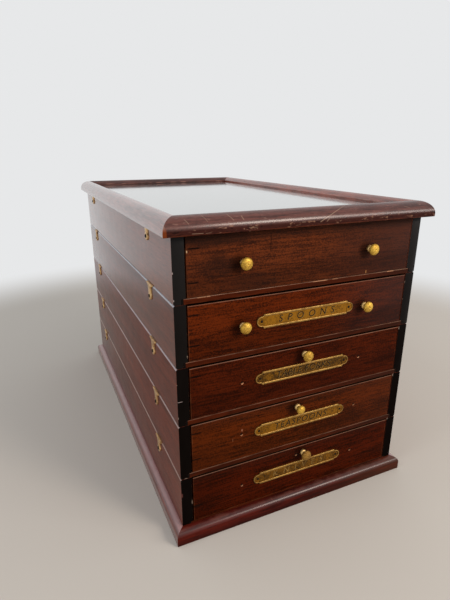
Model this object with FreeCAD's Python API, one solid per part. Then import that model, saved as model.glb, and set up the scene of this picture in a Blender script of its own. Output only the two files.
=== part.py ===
"""Stacking flatware storage box, in millimetres, +Z up, drawer fronts towards -Y.

Five equal tiers stand on a moulded plinth under a moulded lid with a plate of mirror glass.
Each tier is a case with one dovetailed drawer, and four turn catches line it up with what
stands on it. The origin is under the middle of the whole box.
"""
import FreeCAD, Part
import math
import os

Vec = FreeCAD.Vector

# Body
BODY_WIDTH = 260.0
BODY_DEPTH = 467.0
TIER_COUNT = 5
TIER_HEIGHT = 57.5
SIDE_THICKNESS = 11.0
BACK_THICKNESS = 8.0
BACK_HOUSING = 5.0
BASE_THICKNESS = 4.8
BASE_HOUSING = 4.0
UPPER_EDGE_RADIUS = 1.2
LOWER_EDGE_RADIUS = 2.2

# Plinth
PLINTH_HEIGHT = 15.5
PLINTH_LAP = 3.4
PLINTH_OVERHANG = 8.0
PLINTH_LEDGE = 14.0
PLINTH_NOSE_HEIGHT = 6.0

# Lid
LID_HEIGHT = 15.0
LID_OVERHANG = 8.5
LID_CREST_INSET = 4.5
LID_LIP = 3.0
LID_INNER_INSET = 12.5
LID_INNER_DROP = 5.0
LID_SLOPE_CROWN = 0.5
MIRROR_DROP = 7.0
MIRROR_THICKNESS = 2.4
BACKING_THICKNESS = 3.0
GLASS_REBATE = 5.0
GLASS_CLEARANCE = 0.3
CATCH_GROOVE_WIDTH = 3.4
CATCH_GROOVE_DEPTH = 4.6

# Drawers
FRONT_THICKNESS = 9.5
FRONT_TOP_GAP = 1.8
FRONT_BOTTOM_GAP = 0.5
DRAWER_SIDE_GAP = 1.2
DRAWER_RUNNING_GAP = 0.2
DRAWER_STOP_GAP = 0.3
DRAWER_SIDE_THICKNESS = 6.5
DRAWER_SIDE_HEIGHT = 43.0
DRAWER_BACK_THICKNESS = 6.5
DRAWER_BACK_DROP = 3.0
DRAWER_BOTTOM_THICKNESS = 3.0
DRAWER_BOTTOM_LIFT = 3.0
DRAWER_GROOVE_DEPTH = 3.0

# Dovetails
FRONT_LAP = 3.2
FRONT_TAILS = 3
BACK_TAILS = 2
TAIL_SHARE = 0.6
TAIL_SLOPE = 1.0 / 6.0

# Knobs
KNOB_PROJECTION = 10.2
KNOB_ROSE_DIAMETER = 8.0
KNOB_ROSE_HEIGHT = 1.1
KNOB_NECK_DIAMETER = 4.6
KNOB_HEAD_DIAMETER = 11.4
SMALL_KNOB_HEAD_DIAMETER = 9.4
KNOB_HEAD_THICKNESS = 5.6
KNOB_CHEEK_WIDTH = 2.8
KNOB_CROWN_INSET = 2.3
KNOB_PAIR_SPACING = 134.5
KNOB_PAIR_DROP = 27.0
KNOB_SINGLE_DROP = 10.0
PAIRED_TIERS = 2
SMALL_KNOB_TIER = 4
SINGLE_KNOB_SHIFT = {4: -5.0, 5: 5.0}

# Label plates
PLATE_LENGTH = 96.0
PLATE_HEIGHT = 13.4
PLATE_THICKNESS = 1.4
PLATE_LUG_HEIGHT = 9.8
PLATE_LUG_REACH = 5.2
PLATE_DROP = 26.2
UNLABELLED_TIERS = 1

# Turn catches
CATCH_INSET = 70.5
CATCH_THICKNESS = 1.6
CATCH_HEAD_WIDTH = 18.0
CATCH_HEAD_EDGE = 1.6
CATCH_LAP = 1.3
CATCH_PIVOT_DROP = 11.4
CATCH_EYE_RADIUS = 4.0
CATCH_NECK_WIDTH = 9.6
CATCH_NECK_DROP = 5.2
CATCH_STANDOFF = 0.2

# Places that follow from the sizes above
LEFT = -BODY_WIDTH / 2
RIGHT = BODY_WIDTH / 2
FRONT_REACH = max(KNOB_PROJECTION, LID_OVERHANG, PLINTH_OVERHANG)
BACK_REACH = max(LID_OVERHANG, PLINTH_OVERHANG)
FRONT = (FRONT_REACH - BACK_REACH - BODY_DEPTH) / 2
BACK = FRONT + BODY_DEPTH
STACK_BASE = PLINTH_HEIGHT - PLINTH_LAP
STACK_TOP = STACK_BASE + TIER_COUNT * TIER_HEIGHT
LID_INNER_HEIGHT = LID_HEIGHT - LID_INNER_DROP
MIRROR_TOP = LID_HEIGHT - MIRROR_DROP
MIRROR_BOTTOM = MIRROR_TOP - MIRROR_THICKNESS
BACKING_BOTTOM = MIRROR_BOTTOM - BACKING_THICKNESS

DRAWER_LEFT = LEFT + SIDE_THICKNESS + DRAWER_SIDE_GAP
DRAWER_RIGHT = RIGHT - SIDE_THICKNESS - DRAWER_SIDE_GAP
DRAWER_REAR = BACK - BACK_THICKNESS - DRAWER_STOP_GAP
FRONT_REAR = FRONT + FRONT_THICKNESS
BACK_FACE = DRAWER_REAR - DRAWER_BACK_THICKNESS
DRAWER_FLOOR = BASE_THICKNESS + DRAWER_RUNNING_GAP
DRAWER_BOTTOM = DRAWER_FLOOR + DRAWER_BOTTOM_LIFT
DRAWER_INSIDE = DRAWER_BOTTOM + DRAWER_BOTTOM_THICKNESS
DRAWER_SIDE_TOP = DRAWER_FLOOR + DRAWER_SIDE_HEIGHT


class Outline:
    """A closed outline of straight lines and arcs in one plane.

    to_space turns the outline's two coordinates into a point of the model.
    """

    def __init__(self, to_space, start):
        self.to_space = to_space
        self.start = start
        self.here = start
        self.edges = []

    def line(self, *point):
        """Draw a straight line to a point."""
        segment = Part.LineSegment(self.to_space(*self.here), self.to_space(*point))
        self.edges.append(segment.toShape())
        self.here = point
        return self

    def arc(self, through, point):
        """Draw the arc that ends at a point and passes through another."""
        curve = Part.Arc(self.to_space(*self.here), self.to_space(*through), self.to_space(*point))
        self.edges.append(curve.toShape())
        self.here = point
        return self

    def quarter(self, centre, point):
        """Draw the short arc about a centre to a point."""
        start_angle = math.atan2(self.here[1] - centre[1], self.here[0] - centre[0])
        end_angle = math.atan2(point[1] - centre[1], point[0] - centre[0])
        turn = (end_angle - start_angle + math.pi) % (2 * math.pi) - math.pi
        radius = math.hypot(point[0] - centre[0], point[1] - centre[1])
        middle = start_angle + turn / 2
        through = (centre[0] + radius * math.cos(middle), centre[1] + radius * math.sin(middle))
        return self.arc(through, point)

    def face(self):
        """Close the outline and fill it."""
        if math.dist(self.here, self.start) > 0:
            self.line(*self.start)
        return Part.Face(Part.Wire(self.edges))


def block(x_range, y_range, z_range):
    """A block between two values on each axis."""
    corner = Vec(x_range[0], y_range[0], z_range[0])
    size = (x_range[1] - x_range[0], y_range[1] - y_range[0], z_range[1] - z_range[0])
    return Part.makeBox(*size, corner)


def mirrored(shape):
    """The same shape on the other side of the middle of the box."""
    return shape.mirror(Vec(0, 0, 0), Vec(1, 0, 0))


def tier_base(tier):
    """Height of the underside of a tier, where tier 1 is the top one."""
    return STACK_BASE + (TIER_COUNT - tier) * TIER_HEIGHT


def mitred_frame(draw_profile, outer, inner, base):
    """Four mitred lengths of moulding round the body.

    draw_profile takes a function that places a point of the section, given as its distance
    outwards from the body's face and its height, and returns the section's face. outer and
    inner are how far the moulding reaches outwards and inwards.
    """
    members = []
    runs = ((0, BODY_WIDTH, LEFT, FRONT), (90, BODY_DEPTH, RIGHT, FRONT),
            (180, BODY_WIDTH, RIGHT, BACK), (270, BODY_DEPTH, LEFT, BACK))
    for angle, length, x, y in runs:
        section = draw_profile(lambda out, up: Vec(-outer, -out, up))
        bar = section.extrude(Vec(length + 2 * outer, 0, 0))
        plan = Outline(lambda along, out: Vec(along, -out, 0), (-outer, outer))
        plan.line(length + outer, outer)
        plan.line(length - inner, -inner)
        plan.line(inner, -inner)
        mitre = plan.face().extrude(Vec(0, 0, PLINTH_HEIGHT + LID_HEIGHT))
        member = bar.common(mitre)
        member.rotate(Vec(0, 0, 0), Vec(0, 0, 1), angle)
        member.translate(Vec(x, y, base))
        members.append(member)
    return members


def plinth_moulding():
    """The plinth: a thumbnail moulding with a rebate that the lowest tier stands in."""
    shoulder = PLINTH_HEIGHT - PLINTH_NOSE_HEIGHT
    bend = math.sqrt(0.5)

    def profile(place):
        section = Outline(place, (PLINTH_OVERHANG, 0))
        section.line(PLINTH_OVERHANG, shoulder)
        section.arc((PLINTH_OVERHANG * bend, shoulder + PLINTH_NOSE_HEIGHT * bend), (0, PLINTH_HEIGHT))
        section.line(0, STACK_BASE)
        section.line(-PLINTH_LEDGE, STACK_BASE)
        section.line(-PLINTH_LEDGE, 0)
        return section.face()

    return mitred_frame(profile, PLINTH_OVERHANG, PLINTH_LEDGE, 0)


def lid_profile(place, groove):
    """Section of the lid's moulding, with the catches' groove on its underside if asked."""
    bend = math.sqrt(0.5)
    reach = LID_OVERHANG + LID_CREST_INSET
    rise = LID_HEIGHT - LID_LIP
    slope_middle = (LID_CREST_INSET + LID_INNER_INSET) / 2
    slope_height = (LID_HEIGHT + LID_INNER_HEIGHT) / 2 + LID_SLOPE_CROWN
    rebate = LID_INNER_INSET - GLASS_REBATE
    section = Outline(place, (LID_OVERHANG, 0))
    section.line(LID_OVERHANG, LID_LIP)
    section.arc((reach * bend - LID_CREST_INSET, LID_LIP + rise * bend), (-LID_CREST_INSET, LID_HEIGHT))
    section.arc((-slope_middle, slope_height), (-LID_INNER_INSET, LID_INNER_HEIGHT))
    section.line(-LID_INNER_INSET, MIRROR_TOP)
    section.line(-rebate, MIRROR_TOP)
    section.line(-rebate, 0)
    if groove:
        section.line(0, 0)
        section.line(0, CATCH_GROOVE_DEPTH)
        section.line(CATCH_GROOVE_WIDTH, CATCH_GROOVE_DEPTH)
        section.line(CATCH_GROOVE_WIDTH, 0)
    return section.face()


def lid_moulding():
    """The lid's frame: plain front and back, and sides grooved for the catches' heads."""
    plain = mitred_frame(lambda place: lid_profile(place, False), LID_OVERHANG, LID_INNER_INSET, STACK_TOP)
    grooved = mitred_frame(lambda place: lid_profile(place, True), LID_OVERHANG, LID_INNER_INSET, STACK_TOP)
    return [plain[0], grooved[1], plain[2], grooved[3]]


def lid_panel(bottom, thickness):
    """A flat plate that fills the rebate of the lid's frame."""
    inset = LID_INNER_INSET - GLASS_REBATE + GLASS_CLEARANCE
    z = STACK_TOP + bottom
    return [block((LEFT + inset, RIGHT - inset), (FRONT + inset, BACK - inset), (z, z + thickness))]


def catch_places():
    """Where the catches of a tier pivot along the depth, by name."""
    return {"front": FRONT + CATCH_INSET, "rear": BACK - CATCH_INSET}


def side_board():
    """The left side of a case, standing on z = 0, with its seam edges rounded."""
    inner = LEFT + SIDE_THICKNESS
    section = Outline(lambda x, z: Vec(x, FRONT, z), (LEFT, LOWER_EDGE_RADIUS))
    section.line(LEFT, TIER_HEIGHT - UPPER_EDGE_RADIUS)
    section.quarter((LEFT + UPPER_EDGE_RADIUS, TIER_HEIGHT - UPPER_EDGE_RADIUS),
                    (LEFT + UPPER_EDGE_RADIUS, TIER_HEIGHT))
    section.line(inner, TIER_HEIGHT)
    section.line(inner, BASE_THICKNESS)
    section.line(inner - BASE_HOUSING, BASE_THICKNESS)
    section.line(inner - BASE_HOUSING, 0)
    section.line(LEFT + LOWER_EDGE_RADIUS, 0)
    section.quarter((LEFT + LOWER_EDGE_RADIUS, LOWER_EDGE_RADIUS), (LEFT, LOWER_EDGE_RADIUS))
    board = section.face().extrude(Vec(0, BODY_DEPTH, 0))
    return board.cut(back_board())


def back_board():
    """The back of a case, in rebates of the two sides, above the base board."""
    reach = SIDE_THICKNESS - BACK_HOUSING
    return block((LEFT + reach, RIGHT - reach), (BACK - BACK_THICKNESS, BACK), (BASE_THICKNESS, TIER_HEIGHT))


def base_board():
    """The base of a case, flush with the underside and the front, in rebates of the sides."""
    reach = SIDE_THICKNESS - BASE_HOUSING
    return block((LEFT + reach, RIGHT - reach), (FRONT, BACK), (0, BASE_THICKNESS))


def turn_catch(y, z):
    """A left-hand catch: a head that narrows from a straight top edge to a round eye."""
    half_head = CATCH_HEAD_WIDTH / 2
    half_neck = CATCH_NECK_WIDTH / 2
    top = CATCH_PIVOT_DROP + CATCH_LAP
    outer = LEFT - CATCH_STANDOFF - CATCH_THICKNESS
    plan = Outline(lambda across, up: Vec(outer, y + across, z + up), (-half_head, top))
    plan.line(half_head, top)
    plan.line(half_head, top - CATCH_HEAD_EDGE)
    plan.line(half_neck, top - CATCH_NECK_DROP)
    plan.line(CATCH_EYE_RADIUS, 0)
    plan.arc((0, -CATCH_EYE_RADIUS), (-CATCH_EYE_RADIUS, 0))
    plan.line(-half_neck, top - CATCH_NECK_DROP)
    plan.line(-half_head, top - CATCH_HEAD_EDGE)
    return plan.face().extrude(Vec(CATCH_THICKNESS, 0, 0))


def tails(x_range, root, reach, z_range, count):
    """Dovetails in a drawer side, from their root along the depth to their wider tips."""
    pitch = (z_range[1] - z_range[0]) / count
    half_root = pitch * TAIL_SHARE / 2
    half_tip = half_root + abs(reach) * TAIL_SLOPE
    solids = []
    for number in range(count):
        middle = z_range[0] + pitch * (number + 0.5)
        plan = Outline(lambda y, z: Vec(x_range[0], y, z), (root, middle - half_root))
        plan.line(root + reach, middle - half_tip)
        plan.line(root + reach, middle + half_tip)
        plan.line(root, middle + half_root)
        solids.append(plan.face().extrude(Vec(x_range[1] - x_range[0], 0, 0)))
    return solids


def front_tails(x_range):
    """The tails that lap into the back of a drawer front."""
    reach = FRONT_LAP - FRONT_THICKNESS
    return tails(x_range, FRONT_REAR, reach, (DRAWER_FLOOR, DRAWER_SIDE_TOP), FRONT_TAILS)


def back_tails(x_range):
    """The tails that pass through a drawer back."""
    z_range = (DRAWER_INSIDE, DRAWER_SIDE_TOP - DRAWER_BACK_DROP)
    return tails(x_range, BACK_FACE, DRAWER_BACK_THICKNESS, z_range, BACK_TAILS)


def drawer_side_ranges():
    """How far the left and right sides of a drawer reach across."""
    left = (DRAWER_LEFT, DRAWER_LEFT + DRAWER_SIDE_THICKNESS)
    right = (DRAWER_RIGHT - DRAWER_SIDE_THICKNESS, DRAWER_RIGHT)
    return left, right


def drawer_bottom():
    """The bottom of a drawer, in grooves of the sides and the front, under the back."""
    reach = DRAWER_SIDE_THICKNESS - DRAWER_GROOVE_DEPTH
    return block((DRAWER_LEFT + reach, DRAWER_RIGHT - reach),
                 (FRONT_REAR - DRAWER_GROOVE_DEPTH, DRAWER_REAR), (DRAWER_BOTTOM, DRAWER_INSIDE))


def drawer_side(x_range):
    """One side of a drawer, with lapped tails at the front and through tails at the back."""
    tip = FRONT + FRONT_LAP
    board = block(x_range, (tip, DRAWER_REAR), (DRAWER_FLOOR, DRAWER_SIDE_TOP))
    front_waste = block(x_range, (tip, FRONT_REAR), (DRAWER_FLOOR, DRAWER_SIDE_TOP))
    back_waste = block(x_range, (BACK_FACE, DRAWER_REAR), (DRAWER_INSIDE, DRAWER_SIDE_TOP))
    for tail in front_tails(x_range):
        front_waste = front_waste.cut(tail)
    for tail in back_tails(x_range):
        back_waste = back_waste.cut(tail)
    return board.cut(front_waste).cut(back_waste).cut(drawer_bottom())


def drawer_back():
    """The back of a drawer, with sockets for the tails of both sides."""
    board = block((DRAWER_LEFT, DRAWER_RIGHT), (BACK_FACE, DRAWER_REAR),
                  (DRAWER_INSIDE, DRAWER_SIDE_TOP - DRAWER_BACK_DROP))
    for x_range in drawer_side_ranges():
        for tail in back_tails(x_range):
            board = board.cut(tail)
    return board


def drawer_front():
    """A drawer front, with lapped sockets for the sides and a groove for the bottom."""
    board = block((DRAWER_LEFT, DRAWER_RIGHT), (FRONT, FRONT_REAR),
                  (BASE_THICKNESS + FRONT_BOTTOM_GAP, TIER_HEIGHT - FRONT_TOP_GAP))
    for x_range in drawer_side_ranges():
        for tail in front_tails(x_range):
            board = board.cut(tail)
    return board.cut(drawer_bottom())


def knob(x, z, head_diameter):
    """A turned knob: a rose, a neck, and a head with a banded cheek and a sloped crown."""
    rose = KNOB_ROSE_DIAMETER / 2
    neck = KNOB_NECK_DIAMETER / 2
    head = head_diameter / 2
    head_back = KNOB_PROJECTION - KNOB_HEAD_THICKNESS
    section = Outline(lambda radius, out: Vec(x + radius, FRONT - out, z), (0, 0))
    section.line(rose, 0)
    section.line(rose, KNOB_ROSE_HEIGHT)
    section.line(neck, KNOB_ROSE_HEIGHT)
    section.line(neck, head_back)
    section.line(head, head_back)
    section.line(head, head_back + KNOB_CHEEK_WIDTH)
    section.line(head - KNOB_CROWN_INSET, KNOB_PROJECTION)
    section.line(0, KNOB_PROJECTION)
    return section.face().revolve(Vec(x, FRONT, z), Vec(0, 1, 0), 360)


def knob_places(tier):
    """Across and drop below the seam of each knob of a tier."""
    if tier <= PAIRED_TIERS:
        half = KNOB_PAIR_SPACING / 2
        return [(-half, KNOB_PAIR_DROP), (half, KNOB_PAIR_DROP)]
    return [(SINGLE_KNOB_SHIFT.get(tier, 0), KNOB_SINGLE_DROP)]


def knobs(tier):
    """The knobs of a tier, as if the tier stood on z = 0."""
    size = SMALL_KNOB_HEAD_DIAMETER if tier == SMALL_KNOB_TIER else KNOB_HEAD_DIAMETER
    return [knob(x, TIER_HEIGHT - drop, size) for x, drop in knob_places(tier)]


def label_plate():
    """A label plate on a drawer front: a bar with a round-ended lug at each end."""
    half = PLATE_LENGTH / 2
    tall = PLATE_HEIGHT / 2
    lug = PLATE_LUG_HEIGHT / 2
    end = half + PLATE_LUG_REACH
    middle = TIER_HEIGHT - PLATE_DROP
    front = FRONT - PLATE_THICKNESS
    plan = Outline(lambda x, z: Vec(x, front, middle + z), (-half, -tall))
    plan.line(half, -tall)
    plan.line(half, -lug)
    plan.line(end - lug, -lug)
    plan.arc((end, 0), (end - lug, lug))
    plan.line(half, lug)
    plan.line(half, tall)
    plan.line(-half, tall)
    plan.line(-half, lug)
    plan.line(lug - end, lug)
    plan.arc((-end, 0), (lug - end, -lug))
    plan.line(-half, -lug)
    return plan.face().extrude(Vec(0, PLATE_THICKNESS, 0))


def save(node, solids, base=0):
    """Write one node's solids, moved up to where their tier stands."""
    shape = Part.makeCompound([solid.translated(Vec(0, 0, base)) for solid in solids])
    shape.exportStep(os.path.join("parts", node + ".step"))


def save_case(tier):
    """Write a tier's case and its catches."""
    base = tier_base(tier)
    left = side_board()
    save(f"tier{tier}_carcase", [left, mirrored(left), back_board()], base)
    save(f"tier{tier}_base_board", [base_board()], base)
    for place, y in catch_places().items():
        catch = turn_catch(y, TIER_HEIGHT - CATCH_PIVOT_DROP)
        save(f"tier{tier}_catch_left_{place}", [catch], base)
        save(f"tier{tier}_catch_right_{place}", [mirrored(catch)], base)


def save_drawer(tier):
    """Write a tier's drawer: front, box, bottom, knobs and, where it has one, label plate."""
    base = tier_base(tier)
    sides = [drawer_side(x_range) for x_range in drawer_side_ranges()]
    save(f"drawer{tier}_front", [drawer_front()], base)
    save(f"drawer{tier}_box", sides + [drawer_back()], base)
    save(f"drawer{tier}_bottom", [drawer_bottom()], base)
    save(f"drawer{tier}_knobs", knobs(tier), base)
    if tier > UNLABELLED_TIERS:
        save(f"drawer{tier}_label_plate", [label_plate()], base)


def main():
    """Write every sub-part of the box."""
    os.makedirs("parts", exist_ok=True)
    save("plinth_moulding", plinth_moulding())
    for tier in range(1, TIER_COUNT + 1):
        save_case(tier)
        save_drawer(tier)
    save("lid_moulding", lid_moulding())
    save("lid_backing", lid_panel(BACKING_BOTTOM, BACKING_THICKNESS))
    save("lid_mirror", lid_panel(MIRROR_BOTTOM, MIRROR_THICKNESS))


main()
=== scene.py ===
"""Looks of a stacking flatware box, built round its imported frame.

Every length is in metres. Sizes and places come from the frame's own boxes, and the few that
only the finish needs are fields of the class that uses them.
"""

import logging
import math
from abc import ABC, abstractmethod
from dataclasses import dataclass
from enum import Enum
from typing import Callable, Mapping, Optional, Sequence, Union

import bmesh
import bpy
from mathutils import Euler, Matrix, Vector


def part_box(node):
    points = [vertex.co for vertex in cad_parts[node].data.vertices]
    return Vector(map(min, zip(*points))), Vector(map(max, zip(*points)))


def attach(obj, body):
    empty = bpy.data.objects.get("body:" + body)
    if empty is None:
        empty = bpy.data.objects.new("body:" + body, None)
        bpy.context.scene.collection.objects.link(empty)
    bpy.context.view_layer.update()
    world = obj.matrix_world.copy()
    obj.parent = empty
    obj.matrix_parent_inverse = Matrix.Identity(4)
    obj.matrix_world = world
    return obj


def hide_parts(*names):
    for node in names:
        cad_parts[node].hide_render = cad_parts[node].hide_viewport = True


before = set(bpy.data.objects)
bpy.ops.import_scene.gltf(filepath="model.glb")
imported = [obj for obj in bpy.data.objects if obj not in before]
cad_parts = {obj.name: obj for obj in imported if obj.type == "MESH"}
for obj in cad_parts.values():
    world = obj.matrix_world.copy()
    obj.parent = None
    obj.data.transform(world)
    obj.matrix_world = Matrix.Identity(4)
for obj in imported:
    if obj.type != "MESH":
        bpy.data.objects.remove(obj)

LOG = logging.getLogger("flatware_box")
MM = 0.001
# Points that lie closer than this are welded into one.
WELD_DISTANCE = 0.001 * MM
# Edges that turn by more than this, in degrees, are broken.
BREAK_ANGLE = 35.0
# Where a broken edge's middle point stands, as a share of the edge's width.
MID_BREAK = 0.3
NOTHING: Mapping = {}

Colour = tuple[float, float, float]
Point = tuple[float, float]
Loop = list[Vector]


def srgb(red: int, green: int, blue: int) -> Colour:
    """Turn a colour as a screen shows it into the linear one that a shader takes.

    Args:
        red: Red, from 0 to 255.
        green: Green, from 0 to 255.
        blue: Blue, from 0 to 255.

    Returns:
        The linear colour, each part from 0 to 1.
    """
    parts = [part / 255 for part in (red, green, blue)]
    low_end, slope, lift, power = 0.04045, 12.92, 0.055, 2.4
    linear = [p / slope if p <= low_end else ((p + lift) / (1 + lift)) ** power for p in parts]
    return (linear[0], linear[1], linear[2])


def scaled(colour: Colour, factor: float) -> Colour:
    """A colour with each part multiplied by a factor."""
    return (colour[0] * factor, colour[1] * factor, colour[2] * factor)


class Axis(Enum):
    """A direction of the frame, by the index of its coordinate."""

    X = 0
    Y = 1
    Z = 2


class Side(Enum):
    """A side of the box, with the sign of its direction along X."""

    LEFT = -1
    RIGHT = 1

    @property
    def word(self) -> str:
        """The side's name as it stands in a node's name."""
        return self.name.lower()


class Wire:
    """A socket of a shader tree that takes part in Python arithmetic."""

    def __init__(self, tree: "Tree", socket: bpy.types.NodeSocket) -> None:
        """Hold a socket and the tree that it belongs to."""
        self.tree = tree
        self.socket = socket

    def math(self, operation: str, *values: "Number") -> "Wire":
        """Add a Math node.

        Args:
            operation: The node's operation.
            values: Its values in order, this wire among them.

        Returns:
            The node's result.
        """
        return self.tree.add("ShaderNodeMath", {"operation": operation}, dict(enumerate(values)))

    def __add__(self, other: "Number") -> "Wire":
        """Add a value."""
        return self.math("ADD", self, other)

    def __radd__(self, other: "Number") -> "Wire":
        """Add to a value."""
        return self.math("ADD", other, self)

    def __sub__(self, other: "Number") -> "Wire":
        """Subtract a value."""
        return self.math("SUBTRACT", self, other)

    def __rsub__(self, other: "Number") -> "Wire":
        """Subtract from a value."""
        return self.math("SUBTRACT", other, self)

    def __mul__(self, other: "Number") -> "Wire":
        """Multiply by a value."""
        return self.math("MULTIPLY", self, other)

    def __rmul__(self, other: "Number") -> "Wire":
        """Multiply a value."""
        return self.math("MULTIPLY", other, self)

    def __truediv__(self, other: "Number") -> "Wire":
        """Divide by a value."""
        return self.math("DIVIDE", self, other)

    def __abs__(self) -> "Wire":
        """The size of the value."""
        return self.math("ABSOLUTE", self)

    def at_least(self, other: "Number") -> "Wire":
        """The larger of this and another value."""
        return self.math("MAXIMUM", self, other)

    def at_most(self, other: "Number") -> "Wire":
        """The smaller of this and another value."""
        return self.math("MINIMUM", self, other)

    def ramp(self, low: float, high: float) -> "Wire":
        """Rise smoothly from 0 to 1 between two values, or fall where the first is the larger.

        Args:
            low: The value that gives 0.
            high: The value that gives 1.

        Returns:
            The eased share, from 0 to 1.
        """
        first, last, start, end = (low, high, 0.0, 1.0) if low < high else (high, low, 1.0, 0.0)
        return self.tree.add("ShaderNodeMapRange", {"interpolation_type": "SMOOTHSTEP"},
                             {0: self, 1: first, 2: last, 3: start, 4: end})


Number = Union[Wire, float]
Paint = Union[Wire, Colour]


class Tree:
    """The node tree of one material or world."""

    MIX_FACTOR, MIX_A, MIX_B, MIX_RESULT = 0, 6, 7, 2

    def __init__(self, owner: Union[bpy.types.Material, bpy.types.World]) -> None:
        """Empty the owner's tree and hold it.

        Args:
            owner: The material or the world.
        """
        owner.use_nodes = True
        self.nodes = owner.node_tree.nodes
        self.links = owner.node_tree.links
        self.nodes.clear()

    @classmethod
    def of_material(cls, name: str) -> tuple[bpy.types.Material, "Tree"]:
        """Make a material, and hold its emptied tree.

        Args:
            name: The material's name.

        Returns:
            The material and its tree.
        """
        made = bpy.data.materials.new(name)
        return made, cls(made)

    def add(self, kind: str, settings: Mapping[str, object] = NOTHING, inputs: Mapping = NOTHING,
            output: Union[int, str] = 0) -> Wire:
        """Add a node, set it up and feed its sockets.

        Args:
            kind: The node's type.
            settings: Its properties, which are set first.
            inputs: The values or wires of its sockets, by name or index.
            output: The socket to give back.

        Returns:
            One of the node's outputs, or the first input of a node that has no output.
        """
        node = self.nodes.new(kind)
        for name, value in settings.items():
            setattr(node, name, value)
        for key, value in inputs.items():
            self.feed(node.inputs[key], value)
        return Wire(self, node.outputs[output] if len(node.outputs) else node.inputs[0])

    def feed(self, socket: bpy.types.NodeSocket, value: object) -> None:
        """Link a wire to a socket, or set the socket's own value.

        Args:
            socket: The socket.
            value: A wire, a number, a vector or a colour.
        """
        if isinstance(value, Wire):
            self.links.new(value.socket, socket)
        elif socket.type == "RGBA" and len(value) == 3:
            socket.default_value = (*value, 1.0)
        else:
            socket.default_value = value

    def mix(self, share: Number, under: Paint, over: Paint) -> Wire:
        """Lay one colour over another.

        Args:
            share: How much of the upper colour shows, from 0 to 1.
            under: The lower colour.
            over: The upper colour.

        Returns:
            The mixed colour.
        """
        inputs = {self.MIX_FACTOR: share, self.MIX_A: under, self.MIX_B: over}
        return self.add("ShaderNodeMix", {"data_type": "RGBA"}, inputs, self.MIX_RESULT)

    def place(self) -> Wire:
        """The point of the surface in the frame, before any body moves."""
        return self.add("ShaderNodeTexCoord", output="Object")

    def split(self, place: Wire) -> tuple[Wire, Wire, Wire]:
        """The three coordinates of a point."""
        node = self.add("ShaderNodeSeparateXYZ", inputs={0: place}).socket.node
        return tuple(Wire(self, socket) for socket in node.outputs)

    def stretched(self, place: Wire, scale: Sequence[float], shift: float) -> Wire:
        """Scale a point on each axis and shift it.

        Args:
            place: The point.
            scale: The scale on each axis.
            shift: How far the result is shifted on every axis.

        Returns:
            The new point.
        """
        longer = self.add("ShaderNodeVectorMath", {"operation": "MULTIPLY"},
                          {0: place, 1: tuple(scale)})
        return self.add("ShaderNodeVectorMath", {"operation": "ADD"}, {0: longer, 1: (shift,) * 3})

    def shifted(self, place: Wire, shift: float) -> Wire:
        """Shift a point on every axis, to read another stretch of noise."""
        return self.stretched(place, (1, 1, 1), shift)

    def noise(self, place: Wire, scale: float, detail: float = 2.0, twist: float = 0.0) -> Wire:
        """Cloudy noise from 0 to 1.

        Args:
            place: The point that it is read at.
            scale: Clouds to the metre.
            detail: How many finer layers it has.
            twist: How much it is distorted.

        Returns:
            The noise's value.
        """
        inputs = {"Vector": place, "Scale": scale, "Detail": detail, "Distortion": twist}
        return self.add("ShaderNodeTexNoise", inputs=inputs)

    def surface(self, colour: Paint, metallic: Number, roughness: Number, bump: Wire, depth: float,
                fixed: Mapping[str, Number]) -> None:
        """Finish the tree with a shader for a solid surface.

        Args:
            colour: The base colour.
            metallic: How metallic it is, from 0 to 1.
            roughness: How rough it is, from 0 to 1.
            bump: The height of the surface, from 0 to 1.
            depth: What a height of 1 stands for.
            fixed: The other sockets' values, by name.
        """
        relief = {"Strength": 1.0, "Distance": depth, "Height": bump}
        inputs = {"Base Color": colour, "Metallic": metallic, "Roughness": roughness,
                  "Normal": self.add("ShaderNodeBump", inputs=relief), **fixed}
        shader = self.add("ShaderNodeBsdfPrincipled", inputs=inputs)
        self.add("ShaderNodeOutputMaterial", inputs={"Surface": shader})


@dataclass(frozen=True)
class Box:
    """A box in the frame, from its lowest to its highest corner."""

    low: Vector
    high: Vector

    @classmethod
    def of(cls, node: str) -> "Box":
        """The box of a node of the frame."""
        return cls(*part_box(node))

    @property
    def middle(self) -> Vector:
        """The middle of the box."""
        return (self.low + self.high) / 2

    @property
    def size(self) -> Vector:
        """How far the box reaches on each axis."""
        return self.high - self.low

    def edge_distance(self, tree: Tree, place: Wire) -> Wire:
        """How far a point of the box's surface lies from the nearest edge.

        Args:
            tree: The material's tree.
            place: The point.

        Returns:
            The distance: of the three ways to a pair of faces, the middle one.
        """
        ways = [half - abs(part - centre) for part, centre, half in
                zip(tree.split(place), self.middle, self.size / 2)]
        most = ways[0].at_least(ways[1]).at_least(ways[2])
        least = ways[0].at_most(ways[1]).at_most(ways[2])
        return ways[0] + ways[1] + ways[2] - most - least


class Layer(ABC):
    """Something that lies over a finish's own colour."""

    @abstractmethod
    def over(self, tree: Tree, place: Wire, colour: Wire) -> Wire:
        """Lay it over a colour.

        Args:
            tree: The material's tree.
            place: The point of the surface.
            colour: The colour below.

        Returns:
            The colour with the layer on it.
        """


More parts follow.
